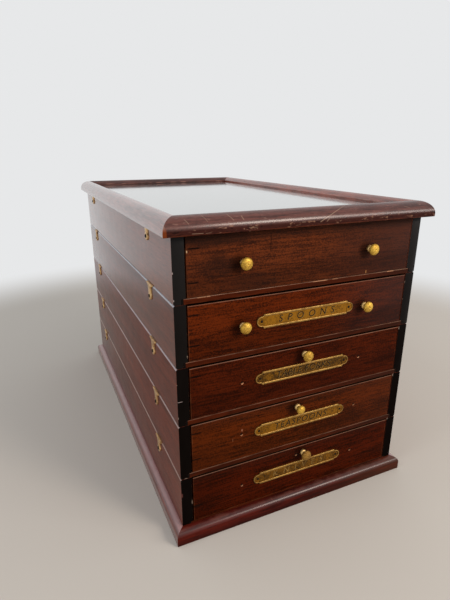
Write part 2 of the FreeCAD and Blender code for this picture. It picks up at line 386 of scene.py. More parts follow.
@dataclass(frozen=True)
class Mark(Layer):
    """A small mark on a surface that faces the front: an old hole, a chip or a short line.

    x and z are its place in the frame, width and height its size, and lip is the share of a
    painted highlight: a pale crescent below it.
    """

    x: float
    z: float
    width: float
    height: float
    tone: Colour = srgb(14, 8, 6)
    share: float = 0.92
    soft: float = 0.25
    lip: float = 0.0
    lip_tone: Colour = srgb(196, 140, 104)

    def mask(self, tree: Tree, place: Wire, shift: float = 0.0) -> Wire:
        """Where the mark lies.

        Args:
            tree: The material's tree.
            place: The point of the surface.
            shift: How far the mark is moved down, and a third of that to the right.

        Returns:
            1 in the mark and 0 outside it.
        """
        x, _, z = tree.split(place)
        across = abs(x - (self.x + shift / 3)) / (self.width / 2)
        up = abs(z - (self.z - shift)) / (self.height / 2)
        reach = (across * across + up * up) if self.width == self.height else across.at_least(up)
        return reach.ramp(1 + self.soft, 1 - self.soft)

    def over(self, tree: Tree, place: Wire, colour: Wire) -> Wire:
        """Lay the mark over a colour.

        Args:
            tree: The material's tree.
            place: The point of the surface.
            colour: The colour below.

        Returns:
            The colour with the mark on it.
        """
        if self.lip > 0:
            # the lip: a painted highlight, a pale crescent set below and a little right of the mark
            crescent = self.mask(tree, place, self.width * 0.45)
            colour = tree.mix(crescent * self.lip, colour, self.lip_tone)
        return tree.mix(self.mask(tree, place) * self.share, colour, self.tone)


@dataclass(frozen=True)
class Scratch(Layer):
    """A fine scratch down the front of the lid.

    Its ends are given by x and by climb, which is how far along Y and Z together they lie. It
    fades out from within its ends to beyond them.
    """

    start: Point
    end: Point
    width: float = 0.5 * MM
    tone: Colour = srgb(190, 158, 132)
    share: float = 0.75
    beyond: float = 0.4 * MM
    within: float = 0.6 * MM

    def over(self, tree: Tree, place: Wire, colour: Wire) -> Wire:
        """Lay the scratch over a colour.

        Args:
            tree: The material's tree.
            place: The point of the surface.
            colour: The colour below.

        Returns:
            The colour with the scratch on it.
        """
        x, y, z = tree.split(place)
        climb = y + z
        start, end = Vector(self.start), Vector(self.end)
        way = (end - start).normalized()
        off = abs((x - start.x) * way.y - (climb - start.y) * way.x)
        along = (x - start.x) * way.x + (climb - start.y) * way.y
        middle = (end - start).length / 2
        length = (abs(along - middle) - middle).ramp(self.beyond, -self.within)
        line = off.ramp(self.width, self.width * 0.3)
        return tree.mix(line * length * self.share, colour, self.tone)


@dataclass(frozen=True)
class Rubbed(Layer):
    """A patchy line of a tone along an arris that runs along X or Y, for rubbed wear and for painted
    highlights and shadows.

    The arris lies at height z, and if they are given, at side out from the middle of the box
    or at the depth front.
    """

    z: float
    reach: float
    tone: Colour
    share: float
    side: Optional[float] = None
    seed: float = 0.0
    patches: float = 0.5
    front: Optional[float] = None
    front_reach: float = 0.4 * MM

    def over(self, tree: Tree, place: Wire, colour: Wire) -> Wire:
        """Lay the line over a colour.

        Args:
            tree: The material's tree.
            place: The point of the surface.
            colour: The colour below.

        Returns:
            The colour with the line on it.
        """
        x, y, z = tree.split(place)
        distance = abs(z - self.z)
        if self.side is not None:
            distance = distance + abs(abs(x) - self.side)
        if self.front is not None:
            distance = distance + (y - self.front - self.front_reach).at_least(0.0)
        patchy = tree.noise(tree.shifted(place, self.seed), 60.0, 4.0)
        shown = patchy.ramp(0.3, 0.62) * self.patches + (1 - self.patches)
        line = distance.ramp(self.reach, self.reach * 0.5)
        return tree.mix(line * shown * self.share, colour, self.tone)


@dataclass(frozen=True)
class Fade(Layer):
    """A change of tone from one end of a piece to the other.

    The tone is laid where the coordinate on the axis comes near end, and share is its strength.
    """

    axis: Axis
    start: float
    end: float
    tone: Colour
    share: float

    def over(self, tree: Tree, place: Wire, colour: Wire) -> Wire:
        """Lay the tone over a colour.

        Args:
            tree: The material's tree.
            place: The point of the surface.
            colour: The colour below.

        Returns:
            The colour with the tone on it.
        """
        along = tree.split(place)[self.axis.value]
        return tree.mix(along.ramp(self.start, self.end) * self.share, colour, self.tone)


@dataclass(frozen=True)
class Patch(Layer):
    """A soft, uneven oval of another tone on a front face, for dark patches and painted shadows."""

    x: float
    z: float
    width: float
    height: float
    tone: Colour
    share: float
    uneven: float = 1.4

    def over(self, tree: Tree, place: Wire, colour: Wire) -> Wire:
        """Lay the patch over a colour.

        Args:
            tree: The material's tree.
            place: The point of the surface.
            colour: The colour below.

        Returns:
            The colour with the patch on it.
        """
        x, _, z = tree.split(place)
        across = (x - self.x) / (self.width / 2)
        up = (z - self.z) / (self.height / 2)
        wander = tree.noise(tree.shifted(place, self.x * 50), 80.0, 3.0) - 0.5
        reach = across * across + up * up + wander * self.uneven
        return tree.mix(reach.ramp(1.3, 0.1) * self.share, colour, self.tone)


@dataclass(frozen=True)
class DirtyTop(Layer):
    """The top of a board, dark right up to its front arris: its dirt and painted shade in the gap
    above it.
    """

    board: Box
    tone: Colour = srgb(32, 19, 12)

    def over(self, tree: Tree, place: Wire, colour: Wire) -> Wire:
        """Lay the dirt and painted shade over a colour.

        Args:
            tree: The material's tree.
            place: The point of the surface.
            colour: The colour below.

        Returns:
            The colour with the dirt and painted shade on it.
        """
        _, y, z = tree.split(place)
        top = z.ramp(self.board.high.z - 0.5 * MM, self.board.high.z - 0.2 * MM)
        inside = y.ramp(self.board.low.y + 0.15 * MM, self.board.low.y + 0.5 * MM)
        return tree.mix(top * inside, colour, self.tone)


@dataclass(frozen=True)
class Scuffed(Layer):
    """Fine pale and dark specks between two heights, drawn out along X."""

    low: float
    high: float
    pale: Colour
    deep: Colour
    share: float
    seed: float = 0.0
    scale: float = 620.0
    patch_scale: float = 70.0
    draw_out: float = 2.6
    fade_below: float = 0.6 * MM
    fade_above: float = 1.5 * MM

    def over(self, tree: Tree, place: Wire, colour: Wire) -> Wire:
        """Lay the specks over a colour.

        Args:
            tree: The material's tree.
            place: The point of the surface.
            colour: The colour below.

        Returns:
            The colour with the specks on it.
        """
        _, _, z = tree.split(place)
        band = (z.ramp(self.low - self.fade_below, self.low)
                * z.ramp(self.high + self.fade_above, self.high))
        drawn = tree.stretched(place, (1 / self.draw_out, 1, 1), self.seed)
        specks = tree.noise(drawn, self.scale, 3.0, 0.6)
        patches = tree.noise(tree.shifted(place, self.seed + 4.0), self.patch_scale, 3.0)
        colour = tree.mix(specks.ramp(0.42, 0.34) * band * self.share, colour, self.deep)
        pale = specks.ramp(0.6, 0.68) * band * patches.ramp(0.38, 0.62)
        return tree.mix(pale * self.share, colour, self.pale)


@dataclass(frozen=True)
class Wood:
    """Polished wood with drawn-out streaks, fine pores and rubbed edges.

    The shares weigh the broad figure, the fine streaks, the lines and the clouds of the grain,
    and spread is how much of their range lies between the dark and the light tone. wear is how
    strongly the edges are rubbed, and steady how evenly. The polish's coat is missing below the
    height dull_below, where that is given.
    """

    name: str
    light: Colour
    dark: Colour
    grain: Axis
    seed: float
    gloss: float = 0.5
    coat: float = 0.35
    coat_roughness: float = 0.10
    roughness: float = 0.34
    rubbed: Colour = srgb(176, 128, 100)
    wear: float = 0.6
    wear_width: float = 0.55 * MM
    steady: float = 0.0
    streak_scale: float = 150.0
    line_scale: float = 520.0
    figure_scale: float = 26.0
    draw_out: float = 14.0
    pore_scale: float = 1500.0
    pore_share: float = 0.55
    pore_tone: float = 0.3
    pore_depth: float = 0.6
    spread: float = 0.24
    speckle: float = 0.0
    figure_share: float = 0.5
    fine_share: float = 0.45
    line_share: float = 0.75
    cloud_share: float = 0.3
    cloud_scale: float = 14.0
    speckle_scale: float = 1000.0
    patch_scale: float = 90.0
    smudge: float = 0.16
    smudge_scale: float = 60.0
    relief: float = 0.04 * MM
    dull_below: Optional[float] = None
    dull_edge: float = 1.2 * MM
    layers: tuple[Layer, ...] = ()

    def streaks(self, tree: Tree, place: Wire) -> tuple[Wire, Wire]:
        """The colour of the bare grain and the height of its pores.

        Args:
            tree: The material's tree.
            place: The point of the surface.

        Returns:
            The colour, and the height from 0 to 1.
        """
        scale = [1.0, 1.0, 1.0]
        scale[self.grain.value] = 1 / self.draw_out
        drawn = tree.stretched(place, scale, self.seed)
        figure = tree.noise(drawn, self.figure_scale, 3.0, 0.8)
        fine = tree.noise(drawn, self.streak_scale, 4.0, 0.5)
        lines = tree.noise(drawn, self.line_scale, 3.0, 0.3)
        pores = tree.noise(drawn, self.pore_scale, 2.0)
        cloud = tree.noise(tree.shifted(place, self.seed * 3), self.cloud_scale, 2.0)
        tone = (figure * self.figure_share + fine * self.fine_share + lines * self.line_share
                + cloud * self.cloud_share)
        middle = (self.figure_share + self.fine_share + self.line_share + self.cloud_share) / 2
        if self.speckle > 0:
            specks = tree.noise(tree.shifted(place, self.seed), self.speckle_scale)
            tone = tone + (specks - 0.5) * self.speckle
        tone = tone.ramp(middle - self.spread, middle + self.spread)
        colour = tree.mix(tone, self.dark, self.light)
        dark_pores = pores.ramp(0.44, 0.34)
        colour = tree.mix(dark_pores * self.pore_share, colour, scaled(self.dark, self.pore_tone))
        return colour, 1 - dark_pores * self.pore_depth

    def rub(self, tree: Tree, place: Wire, colour: Wire, distance: Wire) -> Wire:
        """Lighten the grain where an edge is rubbed.

        Args:
            tree: The material's tree.
            place: The point of the surface.
            colour: The grain's colour.
            distance: How far the nearest edge is.

        Returns:
            The colour with its rubbed edges.
        """
        patchy = tree.noise(tree.shifted(place, self.seed * 7), self.patch_scale, 4.0)
        reach = patchy.ramp(0.35, 0.75) * self.wear_width
        mask = (distance - reach).ramp(self.wear_width, 0.0)
        shown = patchy.ramp(0.4, 0.62) * (1 - self.steady) + self.steady
        return tree.mix(mask * shown * self.wear, colour, self.rubbed)

    def material(self, distance: Callable[[Tree, Wire], Wire]) -> bpy.types.Material:
        """Make the material.

        Args:
            distance: Gives how far a point lies from the nearest edge.

        Returns:
            The material.
        """
        made, tree = Tree.of_material(self.name)
        place = tree.place()
        colour, height = self.streaks(tree, place)
        if self.wear > 0:
            colour = self.rub(tree, place, colour, distance(tree, place))
        for layer in self.layers:
            colour = layer.over(tree, place, colour)
        smudges = tree.noise(tree.shifted(place, self.seed * 5), self.smudge_scale, 5.0)
        rough = self.roughness + (smudges - 0.5) * self.smudge
        coat: Number = self.coat
        if self.dull_below is not None:
            _, _, z = tree.split(place)
            above = z.ramp(self.dull_below - self.dull_edge, self.dull_below + self.dull_edge)
            coat = above * self.coat
        tree.surface(colour, 0.0, rough, height, self.relief,
                     {"Specular IOR Level": self.gloss, "Coat Weight": coat,
                      "Coat Roughness": self.coat_roughness})
        return made


@dataclass(frozen=True)
class BlackedEdge:
    """The blackened front edge of a side board, with chips along its arrises."""

    name: str
    board: Box
    seed: float
    gloss: float = 0.14
    black: Colour = srgb(10, 7, 6)
    chip: Colour = srgb(150, 132, 118)
    roughness: float = 0.36
    uneven: float = 0.14
    cloud_scale: float = 120.0
    chip_scale: float = 170.0
    relief: float = 0.05 * MM
    layers: tuple[Layer, ...] = ()

    def material(self) -> bpy.types.Material:
        """Make the material.

        Returns:
            The material.
        """
        made, tree = Tree.of_material(self.name)
        place = tree.place()
        cloud = tree.noise(tree.stretched(place, (1, 1, 0.3), self.seed), self.cloud_scale, 4.0)
        colour = tree.mix(cloud, self.black, scaled(self.black, 2.2))
        spots = tree.noise(tree.shifted(place, self.seed), self.chip_scale, 3.0)
        near = self.board.edge_distance(tree, place).ramp(1.1 * MM, 0.2 * MM)
        colour = tree.mix(near * spots.ramp(0.66, 0.7), colour, self.chip)
        for layer in self.layers:
            colour = layer.over(tree, place, colour)
        tree.surface(colour, 0.0, self.roughness + cloud * self.uneven, cloud, self.relief,
                     {"Specular IOR Level": self.gloss})
        return made


@dataclass(frozen=True)
class Brass:
    """Old brass, in bright and brown patches spread by noise and its tarnish."""

    name: str
    bright: Colour
    brown: Colour
    tarnish: float
    roughness: float = 0.32
    metallic: float = 0.85
    spot_scale: float = 420.0
    scratch_scale: float = 2600.0
    scratching: float = 0.1
    dulling: float = 0.22
    relief: float = 0.03 * MM

    def material(self) -> bpy.types.Material:
        """Make the material.

        Returns:
            The material.
        """
        made, tree = Tree.of_material(self.name)
        place = tree.place()
        spots = tree.noise(place, self.spot_scale, 5.0, 0.4)
        cloud = tree.noise(place, self.spot_scale / 6, 3.0)
        dull = (spots * 0.9 + cloud * 0.5 + (self.tarnish - 0.6)).ramp(0.38, 0.92)
        colour = tree.mix(dull, self.bright, self.brown)
        scratches = tree.noise(tree.stretched(place, (1, 1, 6), 2.0), self.scratch_scale, 2.0)
        rough = self.roughness + dull * self.dulling + (scratches - 0.5) * self.scratching
        tree.surface(colour, self.metallic, rough, spots, self.relief, {"Specular IOR Level": 0.5})
        return made


@dataclass(frozen=True)
class MirrorGlass:
    """Old mirror glass, with a little dust."""

    name: str
    silver: Colour = srgb(211, 213, 211)
    metallic: float = 0.96
    roughness: float = 0.05
    dust_tone: Colour = srgb(180, 182, 180)
    dust_share: float = 0.15
    dust_haze: float = 0.06
    dust_scale: float = 160.0

    def material(self) -> bpy.types.Material:
        """Make the material.

        Returns:
            The material.
        """
        made, tree = Tree.of_material(self.name)
        place = tree.place()
        dust = tree.noise(place, self.dust_scale, 5.0)
        colour = tree.mix(dust.ramp(0.5, 0.8) * self.dust_share, self.silver, self.dust_tone)
        tree.surface(colour, self.metallic, self.roughness + dust * self.dust_haze, dust, 0.0,
                     {"Specular IOR Level": 0.5})
        return made


@dataclass(frozen=True)
class Enamel:
    """A plain dark finish, for the filling of engraved letters and old screws."""

    name: str
    colour: Colour = srgb(24, 15, 7)
    roughness: float = 0.5
    uneven: float = 0.2
    gloss: float = 0.1
    speck_scale: float = 900.0
    relief: float = 0.01 * MM

    def material(self) -> bpy.types.Material:
        """Make the material.

        Returns:
            The material.
        """
        made, tree = Tree.of_material(self.name)
        specks = tree.noise(tree.place(), self.speck_scale, 3.0)
        colour = tree.mix(specks, self.colour, scaled(self.colour, 1.8))
        tree.surface(colour, 0.0, self.roughness + specks * self.uneven, specks, self.relief,
                     {"Specular IOR Level": self.gloss})
        return made


def angles(end: float, steps: int) -> list[float]:
    """Evenly spaced angles in radians, from 0 to an end in degrees."""
    return [math.radians(end * step / steps) for step in range(steps + 1)]


def arc(centre: Point, radius: float, start: float, end: float, steps: int) -> list[Point]:
    """Points along an arc.

    Args:
        centre: The arc's centre.
        radius: Its radius.
        start: The angle that it starts at, in degrees.
        end: The angle that it ends at, in degrees.
        steps: How many spans it has.

    Returns:
        The points, both ends among them.
    """
    turns = [math.radians(start + (end - start) * step / steps) for step in range(steps + 1)]
    return [(centre[0] + radius * math.cos(a), centre[1] + radius * math.sin(a)) for a in turns]


def quarter_oval(width: float, height: float, steps: int) -> list[Point]:
    """Points along a quarter of an oval about its middle, from its side up to its top.

    Args:
        width: Half the oval's width.
        height: Half its height.
        steps: How many spans the quarter has.

    Returns:
        The points, both ends among them.
    """
    return [(width * math.cos(a), height * math.sin(a)) for a in angles(90, steps)]


def inset(points: Sequence[Point], distance: float) -> list[Point]:
    """Move a closed outline inwards.

    Args:
        points: The outline, anticlockwise.
        distance: How far each side moves.

    Returns:
        The smaller outline, with as many points.
    """
    moved = []
    for index, point in enumerate(points):
        here = Vector(point)
        before = (here - Vector(points[index - 1])).normalized()
        after = (Vector(points[(index + 1) % len(points)]) - here).normalized()
        left_before = Vector((-before.y, before.x))
        left_after = Vector((-after.y, after.x))
        middle = left_before + left_after
        share = max(0.5, middle.length_squared / 2)
        moved.append(tuple(here + middle * (distance / share)))
    return moved


def skin(loops: Sequence[Loop], last_finish: int = 0) -> bmesh.types.BMesh:
    """Span closed loops of points in order and cap both ends.

    Args:
        loops: The loops, each with as many points.
        last_finish: The material index of the last loop's cap.

    Returns:
        The closed mesh.
    """
    mesh = bmesh.new()
    rings = [[mesh.verts.new(point) for point in loop] for loop in loops]
    for ring, after in zip(rings, rings[1:]):
        for index in range(len(ring)):
            follow = (index + 1) % len(ring)
            mesh.faces.new((ring[index], ring[follow], after[follow], after[index]))
    mesh.faces.new(list(reversed(rings[0])))
    mesh.faces.new(rings[-1]).material_index = last_finish
    bmesh.ops.remove_doubles(mesh, verts=mesh.verts, dist=WELD_DISTANCE)
    bmesh.ops.recalc_face_normals(mesh, faces=mesh.faces)
    return mesh


def turned(profile: Sequence[Point], to_space: Callable[[float, float, float], Vector],
           steps: int) -> bmesh.types.BMesh:
    """Turn a profile about its axis.

    Args:
        profile: Radius and height of each point, from the foot to the crown.
        to_space: Places a point that is given by two coordinates across the axis and its height.
        steps: How many spans a turn has.

    Returns:
        The closed mesh.
    """
    turns = [math.tau * step / steps for step in range(steps)]
    return skin([[to_space(r * math.cos(a), r * math.sin(a), h) for a in turns] for r, h in profile])


def smooth_profile(points: Sequence[Point], spans: int) -> list[Point]:
    """Draw a smooth curve through points.

    Args:
        points: The points that it passes through.
        spans: How many spans it has between two points.

    Returns:
        The points along the curve.
    """
    ends = [points[0], *points, points[-1]]
    curve = []
    for before, start, end, after in zip(ends, ends[1:], ends[2:], ends[3:]):
        for step in range(spans):
            t = step / spans
            curve.append(tuple(
                0.5 * (2 * b + (c - a) * t + (2 * a - 5 * b + 4 * c - d) * t * t
                       + (3 * b - a - 3 * c + d) * t * t * t)
                for a, b, c, d in zip(before, start, end, after)))
    return [*curve, points[-1]]


def solid_piece(name: str, mesh: bmesh.types.BMesh, material: bpy.types.Material, body: str,
                replaces: Sequence[str] = (), crease: float = 32.0,
                second: Optional[bpy.types.Material] = None) -> bpy.types.Object:
    """Make a piece of a mesh, dress it and let it ride on its body.

    Args:
        name: The piece's name.
        mesh: Its mesh, which is used up.
        material: Its material.
        body: The body that it rides on.
        replaces: The nodes that it stands for.
        crease: The angle in degrees over which an edge stays sharp.
        second: The material of the faces whose index is 1, if there are any.

    Returns:
        The piece.
    """
    data = bpy.data.meshes.new(name)
    mesh.to_mesh(data)
    mesh.free()
    data.shade_smooth()
    data.set_sharp_from_angle(angle=math.radians(crease))
    piece = bpy.data.objects.new(name, data)
    bpy.context.scene.collection.objects.link(piece)
    for finish in (material, second):
        if finish is not None:
            data.materials.append(finish)
    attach(piece, body)
    if replaces:
        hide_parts(*replaces)
    LOG.info("%s rides on %s", name, body)
    return piece


def dress(node: str, material: bpy.types.Material, round_edge: float = 0.0) -> None:
    """Give a node of the frame its finish and, if asked, broken edges.

    Args:
        node: The node's name.
        material: Its material.
        round_edge: How wide its edges are broken.
    """
    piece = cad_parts[node]
    for slot in piece.material_slots:
        slot.material = material
    if round_edge > 0:
        weld = piece.modifiers.new("weld", "WELD")
        weld.merge_threshold = WELD_DISTANCE
        bevel = piece.modifiers.new("broken_edges", "BEVEL")
        bevel.width = round_edge
        bevel.segments = 2
        bevel.limit_method = "ANGLE"
        bevel.angle_limit = math.radians(BREAK_ANGLE)
        bevel.harden_normals = True
    LOG.info("%s is dressed", node)


def block(box: Box, round_edge: float) -> bmesh.types.BMesh:
    """A board with broken edges that fills a box.

    Args:
        box: The box.
        round_edge: How wide the edges are broken.

    Returns:
        The board's mesh.
    """
    mesh = bmesh.new()
    bmesh.ops.create_cube(mesh, size=1.0)
    for vertex in mesh.verts:
        vertex.co = Vector(m + s * c for m, s, c in zip(box.middle, box.size, vertex.co))
    bmesh.ops.bevel(mesh, geom=mesh.edges, offset=round_edge, segments=2, affect="EDGES")
    return mesh


@dataclass(frozen=True)
class Body:
    """The four walls of the stack in plan, which both mouldings run round."""

    low: Vector
    high: Vector

    @classmethod
    def of_frame(cls) -> "Body":
        """Read the walls from the top tier's case."""
        return cls(*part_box("tier1_carcase"))

    def reach(self, tree: Tree, place: Wire) -> Wire:
        """How far a point lies outside the walls, in plan.

        Args:
            tree: The material's tree.
            place: The point.

        Returns:
            The distance, below 0 inside the walls.
        """
        x, y, _ = tree.split(place)
        middle = (self.low + self.high) / 2
        half = (self.high - self.low) / 2
        return (abs(x - middle.x) - half.x).at_least(abs(y - middle.y) - half.y)

    def mitred(self, profile: Sequence[Point], stations: int) -> dict[str, bmesh.types.BMesh]:
        """Run a profile round the walls in four mitred lengths.

        Args:
            profile: The section, as distances outwards and heights, in a closed outline.
            stations: How many spans each length has.

        Returns:
            The meshes, by the side of the box that each runs along.
        """
        low, high = self.low, self.high
        corners = [(low.x, low.y), (high.x, low.y), (high.x, high.y), (low.x, high.y)]
        meshes = {}
        for number, side in enumerate(("front", "right", "back", "left")):
            start = Vector(corners[number])
            end = Vector(corners[(number + 1) % len(corners)])
            along = (end - start).normalized()
            outwards = Vector((along.y, -along.x))
            loops = []
            for station in range(stations + 1):
                share = station / stations
                loop = []
                for out, up in profile:
                    first = start + outwards * out - along * out
                    last = end + outwards * out + along * out
                    here = first.lerp(last, share)
                    loop.append(Vector((here.x, here.y, up)))
                loops.append(loop)
            meshes[side] = skin(loops)
        return meshes


@dataclass
class Plinth:
    """The moulding that the lowest tier stands in."""

    body: Body
    node: str = "plinth_moulding"
    nose_height: float = 6.0 * MM
    lap: float = 3.4 * MM
    ledge: float = 14.0 * MM
    quirk: float = 0.35 * MM
    nose_steps: int = 12
    stations: int = 30

    def profile(self) -> list[Point]:
        """The plinth's section.

        Returns:
            The outline, as distances outwards and heights.
        """
        box = Box.of(self.node)
        overhang = self.body.low.x - box.low.x
        top = box.high.z
        shoulder = top - self.nose_height
        oval = quarter_oval(overhang, self.nose_height, self.nose_steps)
        return [(overhang - self.quirk, 0.0), (overhang, self.quirk),
                *[(out, shoulder + up) for out, up in oval],
                (0.0, top - self.lap), (-self.ledge, top - self.lap), (-self.ledge, 0.0)]

    def build(self) -> None:
        """Make the four lengths."""
        box = Box.of(self.node)
        top = box.high.z
        # the front grows darker towards the foot and paler towards the right
        foot = Fade(Axis.Z, 8.0 * MM, 1.0 * MM, srgb(30, 6, 3), 0.5)
        right = Fade(Axis.X, 0.0, box.high.x, srgb(100, 60, 38), 0.25)
        # painted highlight along the crest of the side lengths
        crest_highlight = Fade(Axis.Z, top - 2.6 * MM, top - 0.6 * MM, srgb(178, 142, 142), 0.55)
        across = Wood("plinth_mahogany", srgb(86, 24, 15), srgb(42, 10, 7), Axis.X, 3.1,
                      gloss=0.06, coat=0.62, coat_roughness=0.28, roughness=0.36,
                      wear=0.2, steady=0.3, rubbed=srgb(140, 92, 78), relief=0.012 * MM,
                      dull_below=top - 5.0 * MM, layers=(foot, right))
        # the sides are paler than the front as painted reflection; their pale line along the crown is
        # partly painted highlight
        along = Wood("plinth_mahogany_side", srgb(138, 62, 49), srgb(80, 33, 25), Axis.Y, 5.3,
                     gloss=0.3, coat=1.0, coat_roughness=0.15, roughness=0.34,
                     wear=0.15, steady=0.4, rubbed=srgb(196, 164, 164), spread=0.34,
                     layers=(crest_highlight,))

        def to_edge(tree: Tree, place: Wire) -> Wire:
            """How far a point lies from the nose's crown or the foot's corner."""
            _, _, z = tree.split(place)
            return abs(z - (top - 0.8 * MM)).at_most(z)

        materials = {Axis.X: across.material(to_edge), Axis.Y: along.material(to_edge)}
        for side, mesh in self.body.mitred(self.profile(), self.stations).items():
            axis = Axis.X if side in ("front", "back") else Axis.Y
            solid_piece(f"plinth_{side}", mesh, materials[axis], "tier5", [self.node])


@dataclass
class Lid:
    """The lift-off lid: a moulding round a plate of mirror glass."""

    body: Body
    node: str = "lid_moulding"
    crest_inset: float = 4.5 * MM
    lip: float = 3.0 * MM
    lip_edge: float = 0.9 * MM
    inner_inset: float = 12.5 * MM
    inner_drop: float = 5.0 * MM
    rebate: float = 5.0 * MM
    groove_width: float = 3.4 * MM
    groove_depth: float = 4.6 * MM
    crown: float = 0.5 * MM
    ovolo_steps: int = 16
    stations: int = 40

    def profile(self, grooved: bool) -> list[Point]:
        """The moulding's section.

        Args:
            grooved: Whether the underside has the groove for the catches' heads.

        Returns:
            The outline.
        """
        box = Box.of(self.node)
        overhang = self.body.low.x - box.low.x
        base, top = box.low.z, box.high.z
        reach, rise = overhang + self.crest_inset, top - base - self.lip
        ovolo = [(out - self.crest_inset, base + self.lip + up)
                 for out, up in quarter_oval(reach, rise, self.ovolo_steps)]
        foot = arc((overhang - self.lip_edge, base + self.lip_edge), self.lip_edge, -90, 0, 5)
        inner = (-self.inner_inset, top - self.inner_drop)
        halfway = -(self.crest_inset + self.inner_inset) / 2
        middle = (halfway, top - self.inner_drop / 2 + self.crown)
        glass = Box.of("lid_mirror").high.z
        under = -(self.inner_inset - self.rebate)
        outline = [*foot, *ovolo, middle, inner,
                   (-self.inner_inset, glass), (under, glass), (under, base)]
        if grooved:
            outline += [(0.0, base), (0.0, base + self.groove_depth),
                        (self.groove_width, base + self.groove_depth), (self.groove_width, base)]
        return outline

    def marks(self, box: Box) -> tuple[Layer, ...]:
        """The scratches down the front length, its bare left end and a painted highlight at its
        mitre.

        Args:
            box: The moulding's box.

        Returns:
            The marks.
        """
        left, climb = self.body.low.x, self.body.low.y + box.low.z
        scratches = (((132.8, -5.1), (143.3, 0.9), 0.48, 0.48),
                     ((143.3, 0.9), (157.0, 10.2), 0.48, 0.48),
                     ((157.0, 10.2), (166.0, 17.0), 0.4, 0.36),
                     ((139.6, -5.2), (142.9, -1.9), 0.48, 0.36),
                     ((10.4, 9.1), (13.1, 2.3), 0.48, 0.3),
                     ((25.7, 14.0), (28.9, 3.9), 0.4, 0.3),
                     ((47.2, 12.9), (51.1, 3.1), 0.48, 0.36),
                     ((58.8, 9.3), (59.9, 2.9), 0.56, 0.36),
                     ((14.8, -6.7), (24.3, -6.9), 0.36, 0.36),
                     ((26.0, -7.1), (31.0, -6.9), 0.32, 0.24),
                     ((63.5, -5.1), (71.7, -5.3), 0.48, 0.24),
                     ((113.9, -3.9), (117.9, -4.0), 0.56, 0.3),
                     ((230.6, 7.1), (236.7, 3.3), 0.4, 0.24))

        def at(place: Point) -> Point:
            """A place that is given in millimetres from the body's left front corner."""
            return left + place[0] * MM, climb + place[1] * MM

        mitre = box.low.x + 1.0 * MM
        # the pale mark above the bare end, called rubbed, is a painted highlight on the mitre's arris
        rubbed = Mark(mitre, box.low.z + 8.0 * MM, 2.2 * MM, 6.0 * MM, srgb(150, 112, 96), 0.5)
        bare = Mark(mitre, box.low.z + 3.0 * MM, 4.4 * MM, 7.6 * MM, srgb(122, 56, 20), 0.8)
        return (rubbed, bare, *[Scratch(at(start), at(stop), width * MM, share=share)
                                for start, stop, width, share in scratches])

    def finishes(self, box: Box) -> dict[str, Wood]:
        """The finish of each length.

        Args:
            box: The moulding's box.

        Returns:
            The finishes, by the side of the box.
        """
        base = box.low.z
        light, dark = srgb(102, 58, 50), srgb(50, 24, 19)
        shade = Fade(Axis.Z, base + 6.5 * MM, base + 4.0 * MM, srgb(48, 16, 9), 0.8)
        bare = Rubbed(base, 1.6 * MM, srgb(104, 50, 30), 0.5, seed=4.0, patches=1.0)
        worn = Scuffed(base, base + 6.0 * MM, srgb(156, 116, 92), srgb(22, 7, 5), 0.75, 2.0)
        dusty = Scuffed(base + 6.0 * MM, box.high.z, srgb(158, 122, 106), srgb(40, 20, 16), 0.3, 6.0)
        common = {"roughness": 0.38, "wear": 0.5, "rubbed": srgb(168, 122, 106)}
        return {
            "front": Wood("lid_mahogany_front", light, dark, Axis.X, 1.7, gloss=0.06, coat=0.6,
                          coat_roughness=0.22, dull_below=base + 5.0 * MM,
                          layers=(shade, worn, dusty, bare, *self.marks(box)), **common),
            "back": Wood("lid_mahogany_back", light, dark, Axis.X, 5.2, gloss=0.1, coat=0.4,
                         **common),
            # the left and right lengths are paler than the front and back: painted reflection
            "left": Wood("lid_mahogany_left", srgb(148, 88, 75), srgb(92, 51, 43), Axis.Y, 2.9,
                         gloss=1.0, coat=1.0, layers=(bare,), **common),
            "right": Wood("lid_mahogany_right", srgb(156, 80, 62), srgb(92, 44, 34), Axis.Y, 3.6,
                          gloss=0.3, coat=0.75, coat_roughness=0.15, layers=(bare,), **common)}

    def build(self) -> None:
        """Make the four lengths and dress the glass and its backing."""
        box = Box.of(self.node)
        arrises = ((-self.crest_inset, box.high.z),
                   (-self.inner_inset, box.high.z - self.inner_drop))

        def to_edge(tree: Tree, place: Wire) -> Wire:
            """How far a point lies from the section's two arrises.

            Args:
                tree: The material's tree.
                place: The point of the surface.

            Returns:
                The distance to the nearer one.
            """
            _, _, z = tree.split(place)
            out = self.body.reach(tree, place)
            ways = [abs(out - arris[0]) + abs(z - arris[1]) for arris in arrises]
            return ways[0].at_most(ways[1])

        plain = self.body.mitred(self.profile(False), self.stations)
        grooved = self.body.mitred(self.profile(True), self.stations)
        for side, finish in self.finishes(box).items():
            mesh = (grooved if finish.grain is Axis.Y else plain)[side]
            solid_piece(f"lid_{side}", mesh, finish.material(to_edge), "lid",
                        [self.node])
        dress("lid_mirror", MirrorGlass("mirror_glass").material())
        backing = Wood("lid_backing_board", srgb(150, 112, 78), srgb(96, 66, 42), Axis.Y, 4.4,
                       coat=0.0, roughness=0.7, wear=0.0)
        dress("lid_backing", backing.material(Box.of("lid_backing").edge_distance))


